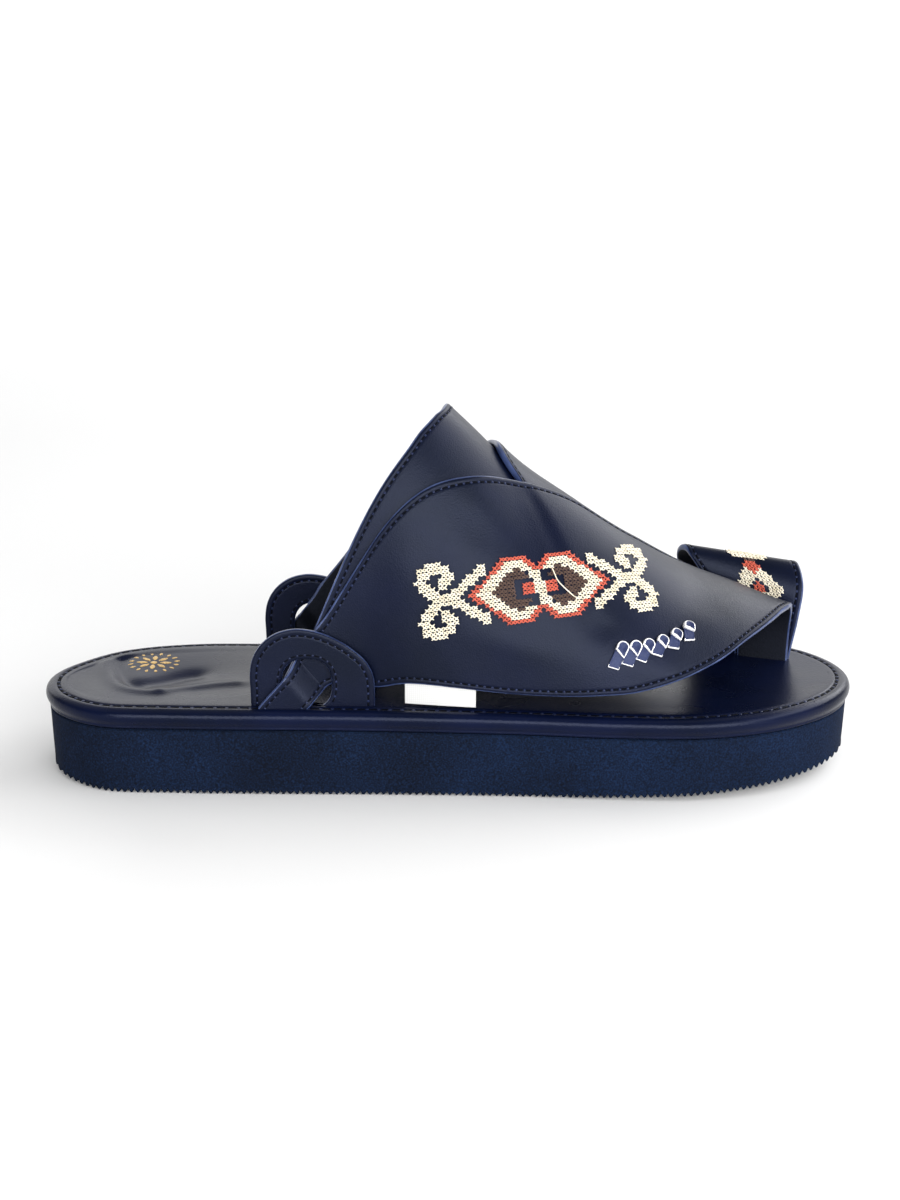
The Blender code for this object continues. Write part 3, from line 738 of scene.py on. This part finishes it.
SOLE_HALF = 620
SOLE_ROWS = [
    # inset, height, share of the tread's lift, share of the deck's sag, depth of the teeth
    (3.0, 0.0, 1.0, 0, 1.0), (2.2, 0.1, 1.0, 0, 1.0), (1.9, 0.5, 1.0, 0, 0.9),
    (2.0, 1.5, 1.0, 0, 0.25), (1.95, 2.6, 1.0, 0, 0.0), (1.8, 7.0, 0.7, 0, 0.0),
    (1.6, 13.0, 0.4, 0, 0.0), (1.45, 19.0, 0.1, 1, 0.0), (1.3, SOLE_TOP - 0.5, 0.0, 1, 0.0),
    (1.8, SOLE_TOP, 0.0, 1, 0.0),
]


def wall_ring(inset, height, lift, sink, teeth):
    """A plan ring of the wall: its height follows tread and deck, and the ribs cut teeth low down."""
    p = plan(SOLE_HALF, inset)
    x = p[:, 0]
    return np.column_stack([p, height + lift * tread(x) + sink * sag(x) + teeth * ribs(x)])


def ruled(cap, s):
    """A cap left as its straight lines across."""
    return cap


verts, faces = stack([wall_ring(*row) for row in SOLE_ROWS], (2, ruled), (6, ruled))
sole = piece("foam_sole", verts, faces, [FOAM], flat=45)
seat(sole, "sole_foam", "outsole")

# %% [markdown]
# ## Footbed
# A board wrapped in leather: the rim is a soft roll with a narrow welt under it, the stitch line
# pulls a groove 4.6 mm inside, and the seat is padded, so it dishes and creases.

# %% Footbed
RIM = np.array([
    # inset, height from the deck
    (2.6, -7.2), (1.7, -7.15), (1.25, -6.9), (1.15, -6.5), (1.2, -6.1), (0.95, -5.6), (0.5, -4.9),
    (0.15, -4.1), (0.0, -3.2), (0.12, -2.3), (0.5, -1.45), (1.1, -0.85), (1.9, -0.42), (2.7, -0.2),
    (3.5, -0.16), (4.05, -0.36), (4.35, -0.6), (4.6, -0.75), (4.85, -0.6), (5.2, -0.3), (5.8, -0.02),
    (7.5, 0.05),
])
CREASES = [
    # depth, half width, points along the crease
    (-0.9, 3.4, [(-124.0, 24.0), (-124.7, 14.0), (-122.5, 1.5), (-117.4, -11.0), (-111.0, -17.5),
                 (-103.0, -20.0)]),
    (0.9, 3.0, [(-119.5, 20.0), (-119.0, 8.0), (-115.0, -5.0), (-109.0, -12.0)]),
    (1.3, 5.0, [(-109.0, -7.0), (-103.0, -4.5), (-96.0, 1.0), (-92.0, 3.0)]),
    (-0.7, 3.2, [(-101.0, -18.5), (-92.0, -13.5), (-84.0, -10.0), (-76.0, -8.5)]),
    (0.4, 5.0, [(-88.0, -18.0), (-76.0, -16.0), (-66.0, -12.0)]),
]


def seat_relief(x, y):
    """Dished heel and ball, and creases as soft troughs: depth falls off with distance squared."""
    z = -1.7 * np.exp(-(((x + 98) / 27) ** 2) - ((y - 1) / 19) ** 2)
    z = z - 0.8 * np.exp(-(((x - 70) / 34) ** 2) - ((y - 3) / 26) ** 2)
    for depth, half, points in CREASES:
        gap = np.full(x.shape, np.inf)
        for px, py in through(np.array(points), 60):
            gap = np.minimum(gap, (x - px) ** 2 + (y - py) ** 2)
        z = z - depth * np.exp(-gap / half ** 2)
    return z


def bed_top(cap, s):
    """Ruled cap dished by the seat relief, which fades out at the rim."""
    fade = smooth(np.minimum(s, 1 - s) / 0.08)
    ends = smooth((143.5 - np.abs(cap[..., 0])) / 18)
    cap = cap.copy()
    cap[..., 2] += seat_relief(cap[..., 0], cap[..., 1]) * fade * ends
    return cap


def rim_ring(inset, rise):
    """A plan ring of the footbed at one row of the rim profile."""
    p = plan(360, inset)
    return np.column_stack([p, DECK + rise + sag(p[:, 0])])


profile = through(RIM, 50)
verts, faces = stack([rim_ring(*row) for row in profile], (90, bed_top), (2, ruled))
seat(piece("wrapped_footbed", verts, faces, [BED]), "footbed_leather", "footbed")

SEAM_INSET = 4.6
SEAM_DROP = -0.36
line = plan(1500, SEAM_INSET)
line = np.column_stack([line, DECK + SEAM_DROP + sag(line[:, 0])])
keep = spaced(line, 2.0)
along = (np.roll(line, -1, 0) - np.roll(line, 1, 0))[keep]
out = np.tile((0.0, 0.0, 1.0), (len(keep), 1))
slant = unit(along) + 0.22 * unit(np.cross(out, along))
sewn("footbed_seam", [(line[keep], slant, out)], "footbed_leather", 3.0, 1.3, 1.15)

# %% [markdown]
# ## Ears
# Two upright tabs of doubled leather, stitched all round and painted on the cut, with a slanted
# hole that the strap ends pass through.

# %% Ears
EAR_FACE, EAR_THICK, EAR_BASE = 33.0, 2.0, 28.5
HOLE_CENTRE = (-49.0, 38.7)
HOLE_HALF = (8.6, 8.9)
HOLE_SQUARENESS = 2.5
HOLE_INSET = 1.5
EAR = np.array([
    # station, height
    (-68.3, EAR_BASE), (-68.4, 36.0), (-68.5, 42.5), (-67.6, 47.5), (-65.0, 52.2), (-60.3, 56.2),
    (-53.7, 58.2), (-46.6, 57.6), (-38.9, 54.6), (-32.4, 50.2), (-28.3, 46.0), (-26.3, 41.5),
    (-25.8, 36.0), (-26.0, EAR_BASE),
])
EAR_PROFILE = [
    # measured from hole or rim, inset in mm, depth as a share of the thickness
    ("hole", 0.0, 0.30), ("hole", 0.15, 0.10), ("hole", 0.45, 0.0), ("hole", 1.2, 0.0),
    ("rim", 3.2, 0.0), ("rim", 2.7, 0.0), ("rim", 2.3, 0.10), ("rim", 1.9, 0.0), ("rim", 1.1, -0.03),
    ("rim", 0.5, 0.02), ("rim", 0.15, 0.12), ("rim", 0.0, 0.32),
]
span = arc_run(EAR)
arch = hermite(span, EAR, np.linspace(0, span[-1], 150))
foot = np.linspace(arch[-1], arch[0], 42)[1:-1]
ear_line = np.concatenate([arch, foot])
rel = ear_line - np.array(HOLE_CENTRE)
power = (np.abs(rel) / HOLE_HALF) ** HOLE_SQUARENESS
hole_line = np.array(HOLE_CENTRE) + rel * (power.sum(1) ** (-1 / HOLE_SQUARENESS))[:, None]


def ear(name, side, node_name):
    """Closed ring between hole and outline: the profile goes round the near face and the far face."""
    towards = unit(hole_line - ear_line)

    def upright(flat, share):
        """Flat points stood up at a share of the ear's thickness."""
        y = np.full(len(flat), side * (EAR_FACE + EAR_THICK * share))
        return np.column_stack([flat[:, 0], y, flat[:, 1]])

    near, far = [], []
    for where, inset, deep in EAR_PROFILE:
        flat = hole_line - towards * inset if where == "hole" else ear_line + towards * inset
        near.append(upright(flat, 1 - deep))
        far.insert(0, upright(flat, deep))
    n, m = 2 * len(near), len(ear_line)
    faces = grid_faces(n + 1, m, closed=True) % (n * m)
    k = np.repeat(np.arange(n), m)
    cuts = (k < 1) | ((k > 9) & (k < 13)) | (k > n - 3)  # the painted cuts of hole and rim
    made = piece(name, np.concatenate(near + far), faces, [STRAP, EDGE], cuts, flat=50)
    seat(made, "ear_leather", node_name)
    rows = []
    rim = through((ear_line + towards * STITCH_INSET)[:len(arch)], 1500)
    hole = through(hole_line - towards * HOLE_INSET, 1500)
    for flat in (rim, hole[hole[:, 1] > DECK + 2]):
        for share, sign in ((1.0, 1), (0.0, -1)):
            p = upright(flat, share)
            keep = spaced(p, STITCH_PITCH / 2)
            out = np.tile((0.0, float(side * sign), 0.0), (len(keep), 1))
            rows.append((p[keep] - 0.1 * out, np.gradient(p, axis=0)[keep], out))
    sewn(name + "_seam", rows, "ear_leather")


ear("outer_ear", -1, "ear_outer")
ear("inner_ear", 1, "ear_inner")

# %% [markdown]
# ## Embroidery
# The ornament is counted thread work: a double hexagon with curled horns. It is charted on a
# grid of 1.33 mm cells by its own rules, and every filled cell gets two crossed threads. The
# chart lies on a plane beside the wing and is pushed onto the leather along the plane's normal.

# %% Embroidery on the wing
CELL = 1.33
HEX = np.array([(18.2, 0), (9, 8.6), (3.6, 8.6), (0, 5.6)])
FIELD = np.array([(12.4, 0), (8.8, 3.6), (5.2, 5.6), (2.9, 3.6), (2.9, -1), (12.4, -1)])
HORN = [(23.4, 0.0), (26.0, 0.8), (28.6, 2.7), (29.7, 5.2), (28.8, 7.4), (26.3, 8.3), (23.8, 7.5),
        (22.9, 5.4), (24.3, 3.9)]


def line_gap(p, line):
    """Distance from points to a chain of straight pieces."""
    a, b = np.array(line[:-1], float), np.array(line[1:], float)
    d = b - a
    t = np.clip(((p[:, None] - a) * d).sum(2) / (d * d).sum(1), 0, 1)
    return np.linalg.norm(p[:, None] - (a + t[..., None] * d), axis=2).min(1)


def inside(p, ring):
    """True for points inside a closed chain, by counting the sides crossed."""
    a, b = ring, np.roll(ring, -1, 0)
    x, y = p[:, 0:1], p[:, 1:2]
    cross = ((a[:, 1] > y) != (b[:, 1] > y)) & (
        x < (b[:, 0] - a[:, 0]) * (y - a[:, 1]) / (b[:, 1] - a[:, 1] + 1e-12) + a[:, 0])
    return cross.sum(1) % 2 == 1


def motif(p):
    """Colour of each cell: 0 none, 1 cream, 2 coral, 3 brown, from its place in the ornament."""
    q = np.abs(p)
    ring = np.concatenate([HEX, HEX[::-1] * (-1, 1), HEX * (-1, -1), HEX[::-1] * (1, -1)])
    gap = line_gap(q, HEX.tolist())
    within = inside(p, ring)
    colour = np.zeros(len(p), int)
    field = inside(q, FIELD) & ~((q[:, 0] < 6.3) & (q[:, 1] < 2.4))
    colour[within & (gap < 4.9) & ((q[:, 0] > 6.3) | (q[:, 1] > 4.4))] = 1
    colour[field] = 3
    colour[within & (gap < 1.3)] = 2
    colour[(np.abs(p[:, 0] + 0.25 * p[:, 1]) < 1.3) & (q[:, 1] < 4.5)] = 1
    colour[(np.abs(q[:, 0] - 2.9) < 1.6) & (q[:, 1] < 1.6)] = 2
    arms = line_gap(q, [(14.2, 6.2), (17.5, 3.9), (20.5, 1.6), (23.4, 0.0)]) < 1.2
    horns = line_gap(q, HORN) < 1.35
    colour[(arms & ~within & (q[:, 0] > 13)) | horns] = 1
    return colour


EMB_CENTRE = np.array((30.4, -35.9, 73.7))
EMB_ALONG = unit(np.array((59.8, 14.6, 3.1)))
EMB_START = (29.3, -0.594)
EMB_LIFT = 7.8


def onto_wing(flat):
    """Push plane points onto the wing: Newton steps on station and girth until both axes agree."""
    out = unit(form(*EMB_START, EMB_LIFT + 1) - form(*EMB_START, EMB_LIFT))
    across = unit(np.cross(out, EMB_ALONG))
    along = np.cross(across, out)
    target = EMB_CENTRE + flat[:, :1] * along + flat[:, 1:2] * across
    x = EMB_START[0] + flat[:, 0] * 0.95
    t = np.clip(EMB_START[1] + flat[:, 1] * 0.008 + flat[:, 0] * 0.005, -0.95, -0.05)
    for _ in range(14):
        p = form(x, t, EMB_LIFT)
        dx = (form(x + 0.01, t, EMB_LIFT) - p) / 0.01
        dt = (form(x, t + 1e-4, EMB_LIFT) - p) / 1e-4
        (e, f), (a, b), (c, d) = [(dot(v, along), dot(v, across)) for v in (target - p, dx, dt)]
        det = a * d - c * b
        x = x + np.clip((e * d - f * c) / det, -6, 6)
        t = np.clip(t + np.clip((f * a - e * b) / det, -0.08, 0.08), -0.97, -0.02)
    out = unit(form(x, t, EMB_LIFT + 1) - form(x, t, EMB_LIFT))
    return form(x, t, EMB_LIFT + settle_outer(x, t)), out


rng = np.random.default_rng(11)


def embroider(name, columns, rows, chart, place):
    """Cross stitch: two threads in each cell that the chart fills, with a small seeded unevenness."""
    cells = np.stack(np.meshgrid(columns, rows), 2).reshape(-1, 2).astype(float)
    colours = chart(cells)
    cells, colours = cells[colours > 0], colours[colours > 0]
    parts = []
    for half, rise in (((0.5, 0.42), 0.16), ((0.5, -0.42), 0.28)):
        middle = cells + rng.normal(0, 0.05, (len(cells), 2))
        a, out = place((middle - half) * CELL)
        b, _ = place((middle + half) * CELL)
        parts.append(((a + b) / 2 + out * rise, b - a, out, np.linalg.norm(b - a, axis=1) * 1.12))
    centre, along, out, length = map(np.concatenate, zip(*parts))
    verts, faces = capsules(centre, along, out, length, 0.54, 0.6)
    index = np.repeat(np.tile(colours - 1, 2), len(faces) // len(centre))
    seat(piece(name, verts, faces, [CREAM, CORAL, BROWN], index), "embroidered_leather")
    print("cells stitched:", len(cells))


embroider("wing_embroidery", np.arange(-33, 34), np.arange(-11, 12), motif, onto_wing)

# %% [markdown]
# A loose end of cream thread crosses one of the brown fields, and the toe loop carries a smaller
# part of the same ornament, counted downwards from its crest.

# %% Loose thread and toe loop embroidery


def tube(path, radius, sides=8):
    """Round thread along a path: a circle carried in the frame of its direction."""
    along = unit(np.gradient(path, axis=0))
    side = unit(np.cross(along, (0.3, 0.1, 1.0)))
    up = np.cross(along, side)
    a = np.linspace(0, 2 * np.pi, sides, endpoint=False)
    taper = np.sqrt(np.clip(1 - np.abs(np.linspace(-1, 1, len(path))) ** 12, 0.02, 1))[:, None, None]
    ring = np.cos(a)[None, :, None] * side[:, None] + np.sin(a)[None, :, None] * up[:, None]
    verts = (path[:, None] + radius * taper * ring).reshape(-1, 3)
    first = list(range(sides))
    last = [(len(path) - 1) * sides + i for i in first]
    return verts, grid_faces(len(path), sides, closed=True).tolist() + [first, last]


LOOSE = np.array([
    # station, girth, lift over the form
    (32.6, -0.516, 8.2), (33.2, -0.530, 8.9), (34.6, -0.554, 9.0), (37.2, -0.573, 9.1),
    (40.7, -0.591, 8.7),
])
route = through(LOOSE, 40)
verts, faces = tube(form(route[:, 0], route[:, 1], route[:, 2]), 0.2)
seat(piece("loose_thread", verts, faces, [CREAM]), "embroidered_leather")


def motif_small(p):
    """Chart of the toe loop: cap, two diamonds and a chevron, mirrored about its middle row."""
    a, b = 11.4 - np.abs(p[:, 0] - 11.4), np.abs(p[:, 1])
    colour = np.zeros(len(p), int)
    colour[(b < 2.4 + (a - 5.8) * 0.8) & (b > (a - 9.0) * 1.2) & (a > 4.6)] = 1
    colour[(a > -1.5) & (a < 2.3) & (b < 5.8 - np.abs(a - 0.6))] = 1
    colour[(a >= 2.3) & (a < 3.5) & (b < 1.6)] = 3
    colour[b / 2.6 + np.abs(a - 5.4) / 2.4 < 1] = 2
    colour[b / 2.4 + np.abs(a - 11.4) / 2.4 < 1] = 2
    return colour


def onto_loop(flat, shift=1.5):
    """Wrap plane points round the toe loop: down its girth by arc length, and across it."""
    u = np.linspace(0, 1, 1500)
    middle = loop_s(u, np.full_like(u, 0.55), 2.4)
    run = arc_run(middle)
    crest = run[np.argmax(middle[:, 2])]
    at = np.interp(crest - flat[:, 0], run, u)
    wide = np.interp(at, u, reach(loop_s, u))
    v = 0.5 + (flat[:, 1] + shift) / wide
    thick = loop_t(at)
    p = loop_s(at, v, thick)
    return p, unit(loop_s(at, v, thick + 1.0) - p)


embroider("toe_embroidery", np.arange(-2, 25), np.arange(-8, 9), motif_small, onto_loop)

# %% [markdown]
# ## Laces
# Six narrow thongs tie the wings together. Each comes up through a slit as a short folded
# tongue and is tucked over its own flat tail. The hide is dyed only on its faces, so its cut is
# pale; it is drawn pale round the tongue and at the tail's end, and along the tail's sides the
# cut takes the dyed colour as painted shade.

# %% Laces
LACES = np.array([
    # loop station, loop girth, tail station, tail girth
    (57.8, -0.700, 54.6, -0.812), (61.9, -0.685, 58.9, -0.792), (66.0, -0.664, 63.2, -0.765),
    (70.2, -0.630, 68.2, -0.728), (74.2, -0.580, 73.4, -0.680), (77.8, -0.522, 78.8, -0.622),
])
LACE_HALF = 2.0
LACE_TAPER = 0.97
WING_FACE = 7.8
TAIL = [
    # inset, height over the wing, finish: 0 dyed face, 1 pale cut
    (0.0, 0.05, 1), (0.0, 0.7, 1), (0.1, 0.85, 1), (0.3, 0.9, 1), (0.42, 0.84, 0),
]
TONGUE = [
    (0.0, 0.3, 1), (0.0, 1.25, 1), (0.1, 1.45, 1), (0.42, 1.5, 1), (0.55, 1.38, 0), (0.9, 1.32, 0),
]
TOP, FLANK, CUT = 15, 8, 9  # outline points round the top, down one side, along the slanted cut
walk = np.arange(TOP + 2 * FLANK + CUT)
# Only the slanted end of the tail keeps the pale cut; the tail's side cuts take the dyed colour, a
# painted shade.
PALE_END_SHADED_SIDES = (walk > TOP + FLANK - 3) & (walk < TOP + FLANK + CUT + 1)


def plaque(place, outline, profile, crown=0.0, pale=None):
    """Closed patch: the outline repeats inwards at each row's inset and height, closed at its middle."""
    insets, heights, marks = zip(*profile)
    centre = outline.mean(0)
    rays = outline - centre
    gap = np.linalg.norm(rays, axis=1)[:, None]
    rings = [place(centre + rays * np.maximum(1 - inset / gap, 0.06), height)
             for inset, height in zip(insets, heights)]
    rings.append(place(centre + rays * 0.45, heights[-1] + 0.8 * crown))
    mids = [place(centre[None], heights[0]), place(centre[None], heights[-1] + crown)]
    m, n = len(outline), len(rings)
    i = np.arange(m)
    j = (i + 1) % m
    last = (n - 1) * m
    under = np.stack([j, i, np.full(m, n * m)], 1)
    over = np.stack([i + last, j + last, np.full(m, n * m + 1)], 1)
    index = np.repeat(marks[1:] + (marks[-1], marks[0], marks[-1]), m)
    # The mask keeps the pale cut only where it is true; elsewhere the cut takes the dyed colour, painted
    # shade on the lace tails.
    if pale is not None:
        index = index * np.tile(pale, n + 1)
    faces = grid_faces(n, m, closed=True).tolist() + under.tolist() + over.tolist()
    return np.concatenate(rings + mids), faces, index


def lace_outline(low_left, low_right, top=None):
    """Tongue or tail seen from above: a round or square top, straight sides and a slanted cut."""
    a = np.linspace(np.pi, 0, TOP)
    if top is None:
        arc = np.column_stack([LACE_HALF * np.cos(a), LACE_HALF * (1 - np.sin(a))])
    else:
        arc = np.column_stack([np.linspace(-LACE_HALF, LACE_HALF, TOP) * 0.92, np.full(TOP, top)])
    side = np.linspace(0.12, 1, FLANK)[:, None]
    low = LACE_HALF * LACE_TAPER
    right = arc[-1] + side * (np.array([low, low_right]) - arc[-1])
    cut = np.linspace(0.1, 0.9, CUT)
    across = np.column_stack([low * (1 - 2 * cut), low_right + (low_left - low_right) * cut])
    left = arc[0] + side[::-1] * (np.array([-low, low_left]) - arc[0])
    return np.concatenate([arc, right, across, left])


def lace(k, row):
    """One thong: the tail lies on the wing, the tongue is domed over its upper end."""
    x0, t0, x1, t1 = row
    top, tail = form(x0, t0, WING_FACE), form(x1, t1, WING_FACE)
    length = np.linalg.norm(tail - top)
    xm, tm = (x0 + x1) / 2, (t0 + t1) / 2
    middle = form(xm, tm, WING_FACE)
    side = np.cross(unit(tail - top), unit(form(xm, tm, WING_FACE + 1) - middle))
    side *= np.sign(side[0])
    step = (0.1, 0.001)
    slopes = np.stack([form(xm + step[0], tm, WING_FACE) - middle,
                       form(xm, tm + step[1], WING_FACE) - middle], 1) / step
    dx, dt = np.linalg.lstsq(slopes, side, rcond=None)[0]

    def place(flat, height):
        """Points along and across the thong, laid on the wing; the tongue swells by half a wave."""
        across, v = flat[:, 0], flat[:, 1] / length
        x = x0 + (x1 - x0) * v + dx * across
        t = t0 + (t1 - t0) * v + dt * across
        fold = 0.75 * np.sin(np.pi * np.clip(v / 0.62, 0, 1)) if height > 1.2 else 0.0
        return form(x, t, WING_FACE + settle_outer(x, t) + height + fold)

    # The tail's side cuts take the dyed colour as painted shade; only its end is pale.
    under = plaque(place, lace_outline(length + 0.2, length - 0.25, 0.3 * length), TAIL, 0.1, PALE_END_SHADED_SIDES)
    over = plaque(place, lace_outline(0.38 * length, 0.55 * length), TONGUE, -0.15)
    faces = under[1] + [[i + len(under[0]) for i in f] for f in over[1]]
    made = piece("lace_%d_thong" % k, np.concatenate([under[0], over[0]]), faces, [LACE, LACE_CUT],
                 np.concatenate([under[2], over[2]]))
    seat(made, "lace_leather", "lace_%d" % k)


for k, row in enumerate(LACES):
    lace(k + 1, row)

# %% [markdown]
# ## Foil ornament
# The heel carries a small hot-stamped print in gold foil. It is drawn as a plain rosette of
# eight petals in a ring of lozenges, pressed into the leather.

# %% Foil ornament
FOIL_CENTRE = (-108.0, 15.0)
PETALS = [
    # inner reach, outer reach, half width, how many round the ring, turned by this share of one
    (2.2, 6.4, 0.95, 8, 0.0), (7.4, 9.5, 0.6, 16, 0.5),
]
HUB = 1.2


def foil():
    """Hot-stamped foil: warm gold metal, broken by worn specks of 0.6 mm."""
    made = _, tree, _, place = blank("gold_stamping_foil")
    wear = node(tree, NOISE, Vector=place, Scale=per(0.6), Detail=4.0)
    return finish(made, wear, [(0.3, "#8a6a35"), (0.6, "#d8b46c")], wear, 0.2, 0.05,
                  Metallic=0.7, Roughness=0.35)


def on_seat(flat, height):
    """Plane points laid on the dished heel."""
    x, y = flat[:, 0] + FOIL_CENTRE[0], flat[:, 1] + FOIL_CENTRE[1]
    return np.column_stack([x, y, DECK + 0.05 + seat_relief(x, y) + height])


turn = np.linspace(0, 2 * np.pi, 20, endpoint=False)
outlines = [np.column_stack([np.cos(turn), np.sin(turn)]) * HUB]
for start, stop, half, many, offset in PETALS:
    along = (start + stop) / 2 + (stop - start) / 2 * np.cos(turn)
    across = half * np.sin(turn) * (1 - 0.35 * np.abs(np.cos(turn)))
    for way in 2 * np.pi * (np.arange(many) + offset) / many:
        outlines.append(along[:, None] * (np.cos(way), np.sin(way))
                        + across[:, None] * (-np.sin(way), np.cos(way)))
verts, faces, count = [], [], 0
for outline in outlines:
    v, f, _ = plaque(on_seat, outline, [(0.0, -0.1, 0), (0.0, 0.05, 0), (0.08, 0.08, 0)])
    verts.append(v)
    faces += [[i + count for i in q] for q in f]
    count += len(v)
seat(piece("foil_rosette", np.concatenate(verts), faces, [foil()]), "footbed_leather")

# %% [markdown]
# ## Label
# A small tape is sewn under the wing's lower edge. Nothing is printed on it.

# %% Label
LABEL = [
    # upper station, upper girth, lower station, lower girth, lift, thickness
    (-15.0, -0.935, -15.0, -0.996, 1.6, 0.4), (-3.0, -0.935, -3.0, -0.996, 1.9, 0.4),
    (9.0, -0.935, 9.0, -0.996, 2.2, 0.4),
]
label_s, _ = over_form(LABEL)
u, v = np.linspace(0, 1, 40)[:, None], np.linspace(0, 1, 16)[None, :]
verts, faces = slab(label_s(u, v, 0.4), label_s(u, v, 0.0))
seat(piece("blank_tape", verts, faces, [TAPE], flat=50), "label_cloth", "blank_label")

# %% [markdown]
# ## Studio
# A pale floor that glows far away and air that is white only near the horizon give the plain
# white ground without washing out the dark leather. Three soft boxes, behind, in front and at
# the toe, stand where the leather reflects them into the lens, as the photo's sheen shows.

# %% Studio
FLOOR_HALF = 20.0
floor_mat, tree, shader, place = blank("pale_paper_floor")
fleck = node(tree, NOISE, Vector=place, Scale=3.0, Detail=2.0)
tone = node(tree, "ShaderNodeValToRGB", {"stops": [(0.0, "#e2e2e2"), (1.0, "#e8e8e8")]}, i0=fleck)
away = node(tree, "ShaderNodeVectorMath", {"operation": "LENGTH"}, i0=place).outputs["Value"]
glow = node(tree, "ShaderNodeMapRange", {"interpolation_type": "SMOOTHSTEP"}, Value=away,
            From_Min=0.5, From_Max=3.2, To_Min=0.0, To_Max=0.85)
plug(tree, shader, Base_Color=tone, Roughness=0.9, Emission_Strength=glow,
     Emission_Color=(1.0, 1.0, 1.0, 1.0))
corners = [(x * FLOOR_HALF, y * FLOOR_HALF, 0) for x, y in ((-1, -1), (1, -1), (1, 1), (-1, 1))]
mesh = bpy.data.meshes.new("floor")
mesh.from_pydata(corners, [], [(0, 1, 2, 3)])
mesh.materials.append(floor_mat)
floor = shown("floor", mesh)

world = bpy.data.worlds.new("studio_air")
world.use_nodes = True
air = world.node_tree
look = node(air, "ShaderNodeSeparateXYZ", i0=node(air, "ShaderNodeTexCoord").outputs["Generated"])
haze = node(air, "ShaderNodeMapRange", {"interpolation_type": "SMOOTHSTEP"}, Value=look.outputs["Z"],
            From_Min=0.1, From_Max=0.22, To_Min=1.0, To_Max=0.15)
plug(air, air.nodes["Background"], Color=linear("#ffffff"), Strength=haze)
bpy.context.scene.world = world

sun_data = bpy.data.lights.new("open_sky", "SUN")
sun_data.energy = 0.5
sun_data.angle = math.radians(70)
shown("open_sky", sun_data).rotation_euler = (math.radians(-12), math.radians(-14), 0.0)

BOX_AIM = np.array((0.0, 0.0, 0.05))
for name, spot, size, power in (
    ("back_box", (0.0, 2.6, 1.15), (5.0, 1.3), 34),
    ("front_box", (0.35, -2.35, 0.78), (3.5, 1.2), 112),
    ("toe_box", (1.54, 0.27, 1.3), (4.2, 0.8), 60),
):
    data = bpy.data.lights.new(name, "AREA")
    data.shape = "RECTANGLE"
    data.size, data.size_y = size
    data.energy = power
    box = shown(name, data)
    box.location = spot
    x, y, z = unit(BOX_AIM - spot)
    box.rotation_euler = (math.acos(-z), 0.0, math.atan2(y, x) - math.pi / 2)
bpy.context.scene.view_settings.view_transform = "Standard"
print("floor, sky and three soft boxes stand")
